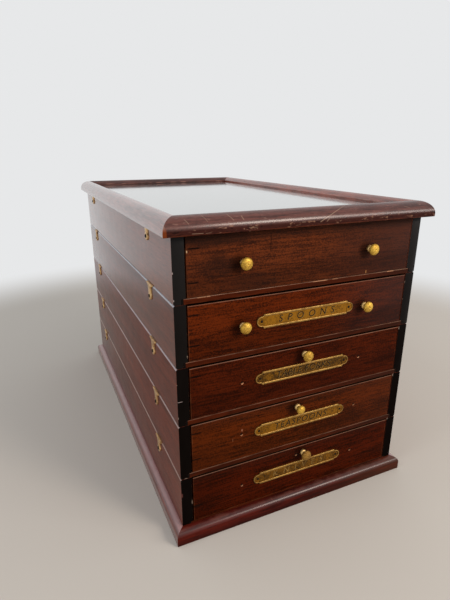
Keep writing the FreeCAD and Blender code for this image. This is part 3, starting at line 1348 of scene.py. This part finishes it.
@dataclass
class TurnCatch:
    """A brass catch on a case's side, and the screw that it turns on."""

    tier: int
    side: Side
    place: str
    round_edge: float = 0.3 * MM
    eye_radius: float = 4.0 * MM
    eye_start: float = 38.0
    eye_end: float = -218.0
    head_edge: float = 1.6 * MM
    neck: float = 6.4 * MM
    screw_head: float = 1.9 * MM
    screw_height: float = 0.9 * MM

    @property
    def node(self) -> str:
        """The node that the catch stands for."""
        return f"tier{self.tier}_catch_{self.side.word}_{self.place}"

    def outline(self, half_head: float, top: float) -> list[Point]:
        """The catch's outline about its pivot.

        Args:
            half_head: Half the width of its head.
            top: The height of its straight top edge.

        Returns:
            The outline, anticlockwise, as distances along the box and up.
        """
        shoulder = top - self.head_edge
        bend = half_head - self.neck / 2
        right = [(half_head - bend * math.sin(a), shoulder - bend * (1 - math.cos(a)) * 0.9)
                 for a in angles(90, 7)]
        left = [(-x, z) for x, z in reversed(right)]
        eye = arc((0.0, 0.0), self.eye_radius, self.eye_start, self.eye_end, 20)
        return [*left, (-half_head, top), (half_head, top), *right, *eye][::-1]

    def build(self, brass: bpy.types.Material, steel: bpy.types.Material) -> None:
        """Make the catch and its screw.

        Args:
            brass: The catches' material.
            steel: The screws' material.
        """
        box = Box.of(self.node)
        pivot_z = box.low.z + self.eye_radius
        face = box.low.x if self.side is Side.LEFT else box.high.x
        foot = box.high.x if self.side is Side.LEFT else box.low.x
        outline = self.outline(box.size.y / 2, box.high.z - pivot_z)
        inwards = math.copysign(1.0, foot - face)

        def loop(shrink: float, x: float) -> Loop:
            """The outline at a depth, drawn in."""
            return [Vector((x, box.middle.y + y, pivot_z + z)) for y, z in inset(outline, shrink)]

        edge = self.round_edge
        loops = [loop(edge, face),
                 loop(edge * MID_BREAK, face + inwards * edge * MID_BREAK),
                 loop(0.0, face + inwards * edge), loop(0.0, foot)]
        body = f"catch{self.tier}_{self.side.word}_{self.place}"
        solid_piece(self.node + "_brass", skin(loops), brass, body, [self.node])
        radius, height = self.screw_head, self.screw_height
        head = [(0.0, -0.1 * MM), (radius, -0.1 * MM), (radius, 0.15 * MM),
                (radius * 0.8, height * 0.65), (radius * 0.4, height), (0.0, height)]
        at = Vector((face, box.middle.y, pivot_z))
        mesh = turned(head, lambda a, b, h: at + Vector((-inwards * h, a, b)), 20)
        solid_piece(self.node + "_screw", mesh, steel, f"tier{self.tier}")


@dataclass
class Case:
    """One tier's case: two sides, a back, a base and its catches."""

    tier: int
    thickness: float = 11.0 * MM
    back_thickness: float = 8.0 * MM
    back_housing: float = 5.0 * MM
    base_thickness: float = 4.8 * MM
    base_housing: float = 4.0 * MM
    upper_radius: float = 1.2 * MM
    lower_radius: float = 2.2 * MM
    round_edge: float = 0.45 * MM
    polish: tuple[float, ...] = (1.0, 0.85, 0.42, 0.36, 0.5)
    gloss: tuple[float, ...] = (0.85, 0.15, 0.1, 0.1, 0.1)
    edge_gloss: tuple[float, ...] = (0.14, 0.07, 0.01, 0.0, 0.0)
    # painted highlight along each side's upper seam arris, by tier
    seam_share: tuple[float, ...] = (0.2, 0.8, 0.85, 0.85, 0.85)
    seam_tone: tuple[Colour, ...] = (srgb(190, 190, 196), srgb(200, 204, 214),
                                     srgb(196, 182, 186), srgb(184, 162, 158),
                                     srgb(170, 144, 134))
    seam_reach: float = 1.6 * MM
    # painted shadow along each side's lower edge, under the seam
    grime_tone: Colour = srgb(26, 15, 12)
    gap_tone: Colour = srgb(17, 13, 11)
    # the rail's upper arris: wear with a painted highlight
    rail_tone: Colour = srgb(206, 164, 138)
    rail_share: tuple[float, ...] = (0.4, 0.25, 0.2, 0.2, 0.0)

    @property
    def body(self) -> str:
        """The body that the case's pieces ride on."""
        return f"tier{self.tier}"

    @property
    def node(self) -> str:
        """The node of the sides and the back."""
        return f"{self.body}_carcase"

    @property
    def level(self) -> int:
        """The case's place in the tables above, from 0 at the top."""
        return self.tier - 1

    def tones(self) -> tuple[Colour, Colour]:
        """The tones of the sides' wood, a little paler in the uppermost case: a painted reflection.

        Returns:
            The light and the dark tone.
        """
        top = (srgb(136, 70, 50), srgb(76, 36, 24))
        second = (srgb(116, 51, 32), srgb(58, 23, 13))
        lower = (srgb(122, 54, 34), srgb(63, 25, 15))
        return (top, second, lower)[min(self.level, 2)]

    def section(self, side: Side, box: Box, housed: bool) -> list[Point]:
        """A side board's section, across and up.

        Args:
            side: The side of the box.
            box: The case's box.
            housed: Whether the section is cut back for the back board.

        Returns:
            The outline.
        """
        outer = box.high.x
        base, top = box.low.z, box.high.z
        inner = outer - self.thickness
        upper = inner + self.back_housing if housed else inner
        low = self.lower_radius
        high = self.upper_radius
        outline = [*arc((outer - low, base + low), low, -90, 0, 8),
                   *arc((outer - high, top - high), high, 0, 90, 6),
                   (upper, top), (upper, base + self.base_thickness),
                   (inner + self.base_housing, base + self.base_thickness),
                   (inner + self.base_housing, base)]
        return [(x * side.value, z) for x, z in outline]

    def chips(self, side: Side, box: Box) -> tuple[Mark, ...]:
        """The placed chips on a side board's blackened edge.

        Args:
            side: The side of the box.
            box: The case's box.

        Returns:
            The marks, in the frame.
        """
        if side is Side.RIGHT:
            return ()
        placed = {1: ((0.3, 30.0, 1.0, 1.6), (0.3, 53.0, 1.2, 1.4)), 3: ((2.4, 32.0, 4.4, 0.5),),
                  5: ((0.6, 18.0, 1.8, 4.0),)}
        tone = srgb(176, 160, 156) if self.tier < 5 else srgb(96, 56, 52)
        left, top = box.low.x, box.high.z
        return tuple(Mark(left + across * MM, top - drop * MM, width * MM, height * MM, tone, 0.8)
                     for across, drop, width, height in placed.get(self.tier, ()))

    def rail_chips(self, board: Box) -> tuple[Mark, ...]:
        """The placed pale chips along the top rail's upper arris.

        Args:
            board: The base board's box.

        Returns:
            The marks, in the frame.
        """
        if self.tier > 1:
            return ()
        placed = ((25.0, 8.0, 0.35), (31.0, 3.0, 0.5), (143.0, 15.0, 0.55), (160.0, 6.0, 0.35),
                  (227.5, 8.0, 0.6))
        left, height = Box.of(self.node).low.x, board.high.z - 0.4 * MM
        tone = srgb(206, 150, 112)
        return tuple(Mark(left + across * MM, height, length * MM, 0.8 * MM, tone, share)
                     for across, length, share in placed)

    def side_board(self, side: Side, box: Box) -> bmesh.types.BMesh:
        """Make a side board.

        Args:
            side: The side of the box.
            box: The case's box.

        Returns:
            The board's mesh.
        """
        whole = self.section(side, box, False)
        housed = self.section(side, box, True)
        edge = self.round_edge
        draw_in = edge * side.value
        front, back = box.low.y, box.high.y
        rebate = back - self.back_thickness

        def loop(section: Sequence[Point], y: float) -> Loop:
            """A section at a depth."""
            return [Vector((x, y, z)) for x, z in section]

        return skin([loop(inset(whole, draw_in), front),
                     loop(inset(whole, draw_in * MID_BREAK), front + edge * MID_BREAK),
                     loop(whole, front + edge), loop(whole, rebate), loop(housed, rebate),
                     loop(housed, back - edge), loop(inset(housed, draw_in), back)])

    def add_side(self, side: Side, box: Box) -> None:
        """Make a side board, polished outside and blackened on its front edge.

        Args:
            side: The side of the box.
            box: The case's box.
        """
        level = self.level
        light, dark = self.tones()
        # painted highlight along the top arris and painted shadow along the bottom edge
        seam_highlight = Rubbed(box.high.z, self.seam_reach, self.seam_tone[level], self.seam_share[level],
                      side=box.high.x, seed=self.tier * 0.8, patches=0.2)
        seam_shadow = Rubbed(box.low.z, self.seam_reach, self.grime_tone, 0.75, side=box.high.x,
                       patches=0.0)
        finish = Wood(f"{self.body}_{side.word}_mahogany", light, dark, Axis.Y,
                      self.tier * 1.9 + side.value * 0.7, gloss=self.gloss[level],
                      coat=self.polish[level], roughness=0.4, wear=0.0, line_share=0.45,
                      spread=0.4, layers=(seam_highlight, seam_shadow))
        board = Box(Vector((box.high.x - self.thickness, box.low.y, box.low.z)), box.high)
        if side is Side.LEFT:
            board = Box(box.low, Vector((box.low.x + self.thickness, box.high.y, box.high.z)))
        edge = BlackedEdge(f"{self.body}_{side.word}_blacked_edge", board, self.tier * 1.3,
                           self.edge_gloss[level], layers=self.chips(side, box))
        mesh = self.side_board(side, box)
        for face in mesh.faces:
            face.material_index = int(face.normal.y < -0.5)
        solid_piece(f"{self.body}_{side.word}_side", mesh, finish.material(board.edge_distance),
                    self.body, [self.node], second=edge.material())

    def add_back(self, box: Box) -> None:
        """Make the back board, which stands in rebates of the sides.

        Args:
            box: The case's box.
        """
        reach = self.thickness - self.back_housing
        low = Vector((box.low.x + reach, box.high.y - self.back_thickness,
                      box.low.z + self.base_thickness))
        back = Box(low, Vector((box.high.x - reach, box.high.y, box.high.z)))
        finish = Wood(f"{self.body}_back_mahogany", srgb(106, 48, 30), srgb(56, 23, 14), Axis.X,
                      self.tier * 2.3, gloss=0.1, coat=0.1, roughness=0.45, wear=0.3)
        solid_piece(f"{self.body}_back", block(back, 0.3 * MM),
                    finish.material(back.edge_distance), self.body, [self.node])

    def dress_base(self) -> None:
        """Dress the base board, whose front edge is the rail under the drawer."""
        node = f"{self.body}_base_board"
        board = Box.of(node)
        tongue = self.base_housing * 0.45
        # the rail darkens towards its right end
        dusty = Fade(Axis.X, 0.0, board.high.x, srgb(40, 24, 19), 0.5)
        # its upper arris: wear with a painted highlight
        arris = Rubbed(board.high.z, 0.5 * MM, self.rail_tone, self.rail_share[self.level],
                       seed=self.tier * 3.3, patches=0.85, front=board.low.y)
        ends = [Fade(Axis.X, end + inwards * tongue * 1.2, end + inwards * tongue, self.gap_tone, 1.0)
                for end, inwards in ((board.low.x, 1), (board.high.x, -1))]
        finish = Wood(f"{self.body}_base_mahogany", srgb(82, 30, 9), srgb(42, 15, 5), Axis.X,
                      self.tier * 2.9, gloss=0.03, coat=0.0, roughness=0.45,
                      wear=0.2 if self.tier < 5 else 0.0, wear_width=0.4 * MM, steady=0.5,
                      rubbed=srgb(138, 84, 58), spread=0.34,
                      layers=(dusty, arris, *self.rail_chips(board), *ends))
        dress(node, finish.material(board.edge_distance), 0.4 * MM)

    def build(self, brass: bpy.types.Material, steel: bpy.types.Material) -> None:
        """Make the sides and the back, dress the base and add the catches.

        Args:
            brass: The catches' material.
            steel: The material of the catches' screws.
        """
        box = Box.of(self.node)
        for side in Side:
            self.add_side(side, box)
        self.add_back(box)
        self.dress_base()
        for side in Side:
            for place in ("front", "rear"):
                TurnCatch(self.tier, side, place).build(brass, steel)


@dataclass
class Knob:
    """A turned brass knob."""

    name: str
    foot: Vector
    head_radius: float
    projection: float
    collar: float = 3.4 * MM
    neck: float = 2.3 * MM
    foot_height: float = 3.2 * MM
    spans: int = 4
    steps: int = 48

    def profile(self) -> list[Point]:
        """The knob's section.

        Returns:
            The outline, as radii and heights off the drawer front.
        """
        head, collar, neck, tip = self.head_radius, self.collar, self.neck, self.projection
        foot = [(collar * 0.92, 0.0), (collar, 0.9 * MM), (collar * 0.96, 1.9 * MM),
                (collar * 0.8, 2.6 * MM), (neck, self.foot_height), (neck * 1.05, 4.4 * MM)]
        crown = [(head * 0.66, 5.4 * MM), (head * 0.92, 6.1 * MM), (head, 7.0 * MM),
                 (head * 0.97, 7.8 * MM), (head * 0.86, 8.7 * MM), (head * 0.64, 9.5 * MM),
                 (head * 0.4, tip - 0.2 * MM), (head * 0.2, tip)]
        dimple = [(0.75 * MM, tip), (0.5 * MM, tip - 0.25 * MM)]
        return [*smooth_profile([*foot, *crown], self.spans), *dimple]

    def build(self, brass: bpy.types.Material, worn: bpy.types.Material, body: str,
              node: str) -> None:
        """Make the knob.

        Args:
            brass: Its head's material.
            worn: Its foot's material.
            body: The body that it rides on.
            node: The node that it stands for.
        """
        mesh = turned(self.profile(), lambda a, b, h: self.foot + Vector((a, -h, b)), self.steps)
        for face in mesh.faces:
            face.material_index = int(self.foot.y - face.calc_center_median().y < self.foot_height)
        solid_piece(self.name, mesh, brass, body, [node], 50.0, worn)


@dataclass
class LabelPlate:
    """A cast brass label plate with a raised rim, plain lettering and a screw in each lug."""

    node: str
    word: str
    tarnish: float
    pale_word: bool = False
    lug_height: float = 9.8 * MM
    lug_reach: float = 5.2 * MM
    rim: float = 1.0 * MM
    rim_rise: float = 0.4 * MM
    recess: float = 0.6 * MM
    letter_height: float = 6.8 * MM
    capital_share: float = 0.7
    word_length: float = 62.0 * MM
    relief: float = 0.3 * MM

    def outline(self, box: Box) -> list[Point]:
        """The plate's outline, anticlockwise, about its middle.

        Args:
            box: The plate's box.

        Returns:
            The points, across and up.
        """
        half = box.size.x / 2 - self.lug_reach
        tall, lug = box.size.z / 2, self.lug_height / 2
        step = tall - lug
        hollow = arc((half, tall), step, -90, -180, 6)
        cap = arc((half + self.lug_reach - lug, 0.0), lug, 90, -90, 16)
        upper = [(half - step, tall), *hollow[::-1], *cap]
        lower = [(x, -z) for x, z in hollow] + [(half - step, -tall)]
        right = [*upper, *lower]
        left = [(-x, -z) for x, z in right]
        return [*right, *left][::-1]

    def build(self, ink: bpy.types.Material, body: str) -> None:
        """Make the plate, its lettering and its screws.

        Args:
            ink: The lettering's material.
            body: The body that they ride on.
        """
        rim = Brass(f"{self.node}_rim", srgb(172, 134, 68), srgb(104, 70, 26), 0.46,
                    roughness=0.38, metallic=0.75).material()
        ground = Brass(f"{self.node}_ground", srgb(158, 106, 20), srgb(62, 40, 11), self.tarnish,
                       roughness=0.42, spot_scale=700.0).material()
        box = Box.of(self.node)
        middle = box.middle
        outline = self.outline(box)
        foot, face = box.high.y, box.low.y

        def loop(shrink: float, drop: float) -> Loop:
            """The outline, drawn in and set back from the plate's face."""
            return [Vector((middle.x + x, face + drop, middle.z + z))
                    for x, z in inset(outline, shrink)]

        half = self.rim / 2
        bead = [loop(half * (1 - math.cos(a)), self.rim_rise * (1 - math.sin(a)))
                for a in angles(180, 8)]
        loops = [loop(0.0, foot - face), *bead, loop(self.rim, self.recess)]
        solid_piece(self.node + "_brass", skin(loops, 1), rim, body, [self.node],
                    40.0, ground)
        # a copy of the word set below, right of and behind it: pale behind dark letters as a painted
        # highlight, dark behind pale ones as a painted shadow
        fill, edge = (rim, ink) if self.pale_word else (ink, rim)
        self.letters(box, face + self.recess, fill, body, "lettering", 0.0)
        self.letters(box, face + self.recess, edge, body, "lettering_edge", self.relief)
        for side in Side:
            self.screw(box, side, face + self.recess, ink, body)

    def spelled(self, spacing: float) -> bmesh.types.BMesh:
        """The word as a flat mesh about its middle.

        Args:
            spacing: How far apart the letters stand.

        Returns:
            The mesh, with its thickness along Z.
        """
        curve = bpy.data.curves.new(self.node + "_word", "FONT")
        curve.body = self.word
        curve.align_x = "CENTER"
        curve.align_y = "CENTER"
        curve.size = self.letter_height / self.capital_share
        curve.space_character = spacing
        curve.shear = 0.15
        curve.extrude = 0.05 * MM
        curve.resolution_u = 4
        text = bpy.data.objects.new(self.node + "_text", curve)
        mesh = bmesh.new()
        mesh.from_mesh(bpy.data.meshes.new_from_object(text))
        bpy.data.objects.remove(text)
        bmesh.ops.remove_doubles(mesh, verts=mesh.verts, dist=WELD_DISTANCE / 2)
        return mesh

    def spacing(self) -> float:
        """How far apart the letters stand where the word has its full length.

        Returns:
            The spacing, 1 for the font's own.
        """
        lengths = []
        for spacing in (1.0, 2.0):
            mesh = self.spelled(spacing)
            across = [vertex.co.x for vertex in mesh.verts]
            lengths.append(max(across) - min(across))
            mesh.free()
        return 1 + (self.word_length - lengths[0]) / (lengths[1] - lengths[0])

    def letters(self, box: Box, ground: float, finish: bpy.types.Material, body: str, label: str,
                shift: float) -> None:
        """Lay the lettering on the plate's ground.

        Args:
            box: The plate's box.
            ground: The depth of the ground.
            finish: The lettering's material.
            body: The body that it rides on.
            label: What the piece is called.
            shift: How far it lies right of, below and behind its place.
        """
        mesh = self.spelled(self.spacing())
        for vertex in mesh.verts:
            x, z, out = vertex.co
            depth = ground - 0.02 * MM - out + shift * 0.1
            vertex.co = Vector((box.middle.x + x + shift, depth, box.middle.z + z - shift))
        bmesh.ops.recalc_face_normals(mesh, faces=mesh.faces)
        solid_piece(f"{self.node}_{label}", mesh, finish, body)

    def screw(self, box: Box, side: Side, ground: float, brass: bpy.types.Material,
              body: str) -> None:
        """Make the screw in one lug.

        Args:
            box: The plate's box.
            side: Which lug it is in.
            ground: The depth of the plate's ground.
            brass: Its material.
            body: The body that it rides on.
        """
        x = box.middle.x + side.value * (box.size.x / 2 - self.lug_height / 2)
        at = Vector((x, ground, box.middle.z))
        head = [(1.3 * MM, -0.05 * MM), (1.3 * MM, 0.12 * MM), (1.0 * MM, 0.34 * MM),
                (0.5 * MM, 0.46 * MM), (0.0, 0.5 * MM)]
        mesh = turned(head, lambda a, b, h: at + Vector((a, -h, b)), 20)
        solid_piece(f"{self.node}_screw_{side.word}", mesh, brass, body)


@dataclass
class Drawer:
    """One tier's drawer: front, box, knobs and label plate."""

    tier: int
    light: Colour
    dark: Colour
    word: str = ""
    tarnish: float = 0.5
    pale_word: bool = False
    # shares of painted shade at the left end, top and bottom, of a painted glare on the right half,
    # and of the top arris's highlight
    left_shade: float = 0.25
    top_shade: float = 0.0
    low_shade: float = 0.2
    glare: float = 0.15
    bright_edge: float = 0.5
    marks: tuple[Mark, ...] = ()
    edge: float = 0.4 * MM
    head_share: float = 0.96

    def layers(self, box: Box) -> tuple[Layer, ...]:
        """What lies over the front's grain: painted glare and shade, patches and painted shadows,
        a worn arris with a painted highlight, a dirty and shaded top, and marks.

        Args:
            box: The front's box.

        Returns:
            The layers, the lowest first.
        """
        low, high = box.low, box.high
        # painted light: glare is a sheen over the right half, and the dust tone is a painted
        glare, dust, shade = srgb(60, 43, 41), srgb(36, 24, 19), scaled(self.dark, 0.35)
        # shadow along the top under the part above; the left end and the bottom get painted shade
        return (Fade(Axis.X, box.middle.x, high.x, glare, self.glare),
                Fade(Axis.X, low.x + 50.0 * MM, low.x, self.dark, self.left_shade),
                Fade(Axis.Z, high.z - 11.0 * MM, high.z - 3.0 * MM, dust, self.top_shade),
                Fade(Axis.Z, high.z - 22.0 * MM, low.z + 10.0 * MM, shade, self.low_shade),
                *self.patches(box),
                # the top arris: wear with a painted highlight
                Rubbed(high.z, 0.7 * MM, srgb(170, 126, 104), self.bright_edge,
                       seed=self.tier * 1.7, patches=0.4),
                # its top: dirt and painted shade in the gap above
                DirtyTop(box), *self.marks)

    def build(self, knob_brass: bpy.types.Material, worn: bpy.types.Material,
              ink: bpy.types.Material) -> None:
        """Dress the drawer's wood and make its knobs and plate.

        Args:
            knob_brass: The material of the knobs' heads.
            worn: The material of their feet.
            ink: The lettering's material.
        """
        body = f"drawer{self.tier}"
        front = f"{body}_front"
        box = Box.of(front)
        finish = Wood(f"{body}_front_mahogany", self.light, self.dark, Axis.X, self.tier * 3.7,
                      gloss=0.02, coat=0.0, roughness=0.42, wear=0.4, wear_width=0.4 * MM,
                      steady=0.4, rubbed=srgb(138, 84, 54), streak_scale=210.0, line_scale=620.0,
                      draw_out=16.0, spread=0.29, speckle=1.1, line_share=1.0,
                      layers=self.layers(box))
        dress(front, finish.material(box.edge_distance), self.edge)
        for part, axis, seed in (("box", Axis.Y, 0.4), ("bottom", Axis.X, 0.9)):
            plain = Wood(f"{body}_{part}_wood", srgb(150, 104, 66), srgb(104, 66, 40), axis,
                         self.tier + seed, gloss=0.3, coat=0.0, roughness=0.62, wear=0.2)
            node = f"{body}_{part}"
            dress(node, plain.material(Box.of(node).edge_distance))
        self.knobs(knob_brass, worn, body)
        if self.word:
            plate = LabelPlate(f"{body}_label_plate", self.word, self.tarnish, self.pale_word)
            plate.build(ink, body)

    def knob_places(self) -> dict[str, Vector]:
        """Where the knobs' feet stand: one in the middle, or a pair where the node is wide.

        Returns:
            The places, by the word for each.
        """
        box = Box.of(f"drawer{self.tier}_knobs")
        radius = box.size.z / 2
        places = {"middle": box.middle.x}
        if box.size.x > box.size.z * 2:
            places = {"left": box.low.x + radius, "right": box.high.x - radius}
        return {word: Vector((x, box.high.y, box.middle.z)) for word, x in places.items()}

    def patches(self, box: Box) -> tuple[Layer, ...]:
        """Dark grease and painted shadow round the knobs, and the top drawer's dark patches.

        Args:
            box: The front's box.

        Returns:
            The patches, in the frame.
        """
        # grease with a painted shadow of each knob, set a little left of its foot
        dark = srgb(16, 7, 4)
        knob_grease_and_shadow = [Patch(foot.x - 3.5 * MM, foot.z - 0.5 * MM, 19 * MM, 16 * MM, dark, 0.6, 0.6)
                  for foot in self.knob_places().values()]
        if self.tier > 1:
            return tuple(knob_grease_and_shadow)
        # dark patches on the top drawer
        left, top, dark_patch_tone = box.low.x, box.high.z, srgb(32, 20, 16)
        dark_patches = ((24, 3, 75, 18, 0.55), (30, 26, 44, 22, 0.6), (60, 44, 60, 20, 0.45),
                 (180, 24, 110, 60, 0.25))
        return (*[Patch(left + x * MM, top - drop * MM, width * MM, height * MM, dark_patch_tone, share)
                  for x, drop, width, height, share in dark_patches], *knob_grease_and_shadow)

    def knobs(self, brass: bpy.types.Material, worn: bpy.types.Material, body: str) -> None:
        """Make one knob, or a pair where the node is wide.

        Args:
            brass: The material of the knobs' heads.
            worn: The material of their feet.
            body: The body that they ride on.
        """
        node = f"{body}_knobs"
        size = Box.of(node).size
        for word, foot in self.knob_places().items():
            knob = Knob(f"{body}_knob_{word}", foot, size.z / 2 * self.head_share, size.y)
            knob.build(brass, worn, body, node)


@dataclass
class Studio:
    """Camera, lamps, floor and background."""

    camera_place: Vector = Vector((-0.2288, -0.5592, 0.3615))
    camera_turn: tuple[float, float, float] = (71.398, 0.188, -23.967)
    lens: float = 26.58
    sensor: float = 36.0
    wall: Colour = srgb(231, 232, 233)
    floor: Colour = srgb(205, 199, 191)
    floor_radius: float = 3.0
    floor_drop: float = 0.2 * MM
    fade_start: float = 0.62
    fade_end: float = 0.98
    ambient: float = 0.72

    def camera(self) -> None:
        """Set the camera to the viewing angle."""
        data = bpy.data.cameras.new("camera")
        data.sensor_fit = "VERTICAL"
        data.sensor_height = self.sensor
        data.lens = self.lens
        data.clip_start = 0.01
        camera = bpy.data.objects.new("camera", data)
        camera.location = self.camera_place
        camera.rotation_euler = Euler([math.radians(angle) for angle in self.camera_turn])
        scene = bpy.context.scene
        scene.collection.objects.link(camera)
        scene.camera = camera
        scene.view_settings.view_transform = "Standard"

    def lamp(self, name: str, ends: tuple[Vector, Vector], aim: Vector, width: float, power: float,
             colour: Colour, glossy: bool) -> None:
        """Add a soft oblong lamp.

        Args:
            name: Its name.
            ends: The middles of its two short sides.
            aim: The point that it faces.
            width: The length of its short sides.
            power: Its power in watts.
            colour: Its colour.
            glossy: Whether polished surfaces show it.
        """
        place = (ends[0] + ends[1]) / 2
        away = (place - aim).normalized()
        along = ends[1] - ends[0]
        across = away.cross(along).normalized()
        data = bpy.data.lights.new(name, "AREA")
        data.shape = "RECTANGLE"
        data.size = along.length
        data.size_y = width
        data.energy = power
        data.color = colour
        lamp = bpy.data.objects.new(name, data)
        lamp.location = place
        lamp.rotation_euler = Matrix((across.cross(away), across, away)).transposed().to_euler()
        lamp.visible_glossy = glossy
        lamp.visible_camera = False
        bpy.context.scene.collection.objects.link(lamp)

    def background(self) -> None:
        """Show the wall's colour to camera, gloss and glass, and a softer light to the rest."""
        world = bpy.data.worlds.new("studio")
        bpy.context.scene.world = world
        tree = Tree(world)
        seen = self.seen(tree)
        shown, soft = [
            tree.add("ShaderNodeBackground", inputs={"Color": self.wall, "Strength": power})
            for power in (1.0, self.ambient)]
        mixed = tree.add("ShaderNodeMixShader", inputs={0: seen, 1: soft, 2: shown})
        tree.add("ShaderNodeOutputWorld", inputs={"Surface": mixed})

    @staticmethod
    def seen(tree: Tree) -> Wire:
        """Tell the rays that camera, gloss or glass sees from the rest.

        Args:
            tree: The tree of the world or of a material.

        Returns:
            1 for a ray that is seen, and 0 for the rest.
        """
        outputs = tree.add("ShaderNodeLightPath").socket.node.outputs
        kinds = ("Camera", "Glossy", "Transmission")
        rays = [Wire(tree, outputs[f"Is {kind} Ray"]) for kind in kinds]
        return rays[0].at_least(rays[1]).at_least(rays[2])

    def ground(self) -> None:
        """Lay a plain pale floor that fades into the background."""
        mesh = bmesh.new()
        bmesh.ops.create_circle(mesh, cap_ends=True, segments=96, radius=self.floor_radius)
        data = bpy.data.meshes.new("floor")
        mesh.to_mesh(data)
        mesh.free()
        floor = bpy.data.objects.new("floor", data)
        floor.location = (0.0, 0.0, -self.floor_drop)
        bpy.context.scene.collection.objects.link(floor)
        made, tree = Tree.of_material("floor")
        x, y, _ = tree.split(tree.place())
        squared = x * x + y * y
        far = squared.math("SQRT", squared)
        paint = {"Base Color": self.floor, "Roughness": 0.9, "Specular IOR Level": 0.1}
        plain = tree.add("ShaderNodeBsdfPrincipled", inputs=paint)
        glow = tree.add("ShaderNodeEmission", inputs={"Color": self.wall, "Strength": 1.0})
        share = far.ramp(self.fade_start, self.fade_end) * self.seen(tree)
        mixed = tree.add("ShaderNodeMixShader", inputs={0: share, 1: plain, 2: glow})
        tree.add("ShaderNodeOutputMaterial", inputs={"Surface": mixed})
        data.materials.append(made)

    def build(self) -> None:
        """Set the whole studio up."""
        self.camera()
        self.background()
        self.ground()
        middle = Vector((0.0, 0.0, 0.15))
        above = (Vector((-1.5, -0.7, 1.6)), Vector((-1.5, 0.2, 1.6)))
        start, bend, end = (Vector((0.6, -1.605, 1.287)), Vector((1.02, -1.475, 1.07)),
                            Vector((1.56, -1.308, 0.791)))
        self.lamp("fill", above, middle, 0.9, 7.0, (0.94, 0.97, 1.0), False)
        self.lamp("window", (start, bend), middle, 0.36, 14.0, (1.0, 0.88, 0.77), True)
        self.lamp("far_window", (bend, end), middle, 0.36, 6.4, (1.0, 0.92, 0.85), True)
        LOG.info("studio is set")


def drawer_marks(tier: int) -> tuple[Mark, ...]:
    """The short dark lines and old holes of a drawer front.

    Args:
        tier: The drawer's tier, counted from the top.

    Returns:
        The marks, in the frame.
    """
    lines = {1: ((18.6, 11.5), (17.5, 40.0)), 2: ((17.0, 10.5), (17.4, 38.3)), 3: ((17.8, 10.3),),
             4: ((17.0, 10.8), (16.2, 39.0)), 5: ((15.6, 35.3),)}
    # the last number of a hole is the share of the painted highlight on its lip
    holes = {3: ((62.8, 26.2, 1.0), (197.2, 26.0, 0.7)), 4: ((62.6, 24.8, 0.6), (197.2, 25.3, 0.45)),
             5: ((63.6, 27.5, 0.6), (198.0, 26.4, 0.6), (126.7, 10.6, 0.7))}
    box = Box.of(f"tier{tier}_carcase")

    def at(across: float, drop: float) -> Point:
        """A place that is given in millimetres from the case's left and top."""
        return box.low.x + across * MM, box.high.z - drop * MM

    marks = [Mark(*at(*line), 10.0 * MM, 1.3 * MM) for line in lines[tier]]
    marks += [Mark(*at(across, drop), 2.4 * MM, 2.4 * MM, lip=lip)
              for across, drop, lip in holes.get(tier, ())]
    if tier == 4:
        marks += [Mark(*at(63.4, 20.6), 1.3 * MM, 2.4 * MM, srgb(178, 120, 92), 0.6),
                  Mark(*at(53.6, 29.0), 0.9 * MM, 3.4 * MM, srgb(150, 96, 66), 0.35)]
    if tier == 1:
        marks += [Mark(*at(89.2, 12.0), 0.8 * MM, 15.0 * MM, share=0.6),
                  Mark(*at(12.9, 13.7), 1.0 * MM, 1.9 * MM, srgb(206, 168, 128), 0.8),
                  Mark(*at(196.3, 50.2), 1.1 * MM, 2.8 * MM, srgb(170, 120, 72), 0.7)]
    return tuple(marks)


def main() -> None:
    """Build the whole box, from the studio to the last catch."""
    logging.basicConfig(level=logging.INFO, format="%(name)s: %(message)s")
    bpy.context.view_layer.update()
    Studio().build()
    body = Body.of_frame()
    Plinth(body).build()
    Lid(body).build()
    catch_brass = Brass("catch_brass", srgb(230, 190, 134), srgb(134, 94, 54), 0.45).material()
    bright_knob = Brass("knob_brass", srgb(228, 186, 76), srgb(134, 88, 22), 0.5,
                        roughness=0.5, metallic=0.7, spot_scale=900.0).material()
    dull_knob = Brass("dull_knob_brass", srgb(178, 136, 62), srgb(114, 77, 28), 0.55,
                      roughness=0.55, metallic=0.7, spot_scale=900.0).material()
    knob_foot = Brass("knob_foot_brass", srgb(226, 190, 124), srgb(150, 108, 62), 0.4,
                      roughness=0.4).material()
    ink = Enamel("letter_filling").material()
    steel = Enamel("darkened_steel", srgb(34, 28, 24)).material()
    drawers = (Drawer(1, srgb(106, 50, 24), srgb(54, 26, 16), left_shade=0.15, top_shade=0.55,
                      low_shade=0.4, glare=0.6, bright_edge=0.0),
               Drawer(2, srgb(98, 37, 9), srgb(42, 15, 6), "SPOONS", 0.42, left_shade=0.0,
                      low_shade=0.35, glare=0.55),
               Drawer(3, srgb(82, 28, 7), srgb(40, 12, 4), "TABLE FORKS", 0.66, left_shade=0.1,
                      low_shade=0.3, glare=0.0, bright_edge=0.6),
               Drawer(4, srgb(92, 37, 8), srgb(42, 16, 4), "TEASPOONS", 0.46, left_shade=0.15,
                      top_shade=0.2, glare=0.1),
               Drawer(5, srgb(76, 22, 3), srgb(30, 8, 2), "KNIVES", 0.58, pale_word=True,
                      left_shade=0.35, top_shade=0.2, low_shade=0.0, glare=0.0))
    for drawer in drawers:
        Case(drawer.tier).build(catch_brass, steel)
        drawer.marks = drawer_marks(drawer.tier)
        drawer.build(dull_knob if drawer.tier == 5 else bright_knob, knob_foot, ink)


if __name__ == "__main__":
    main()
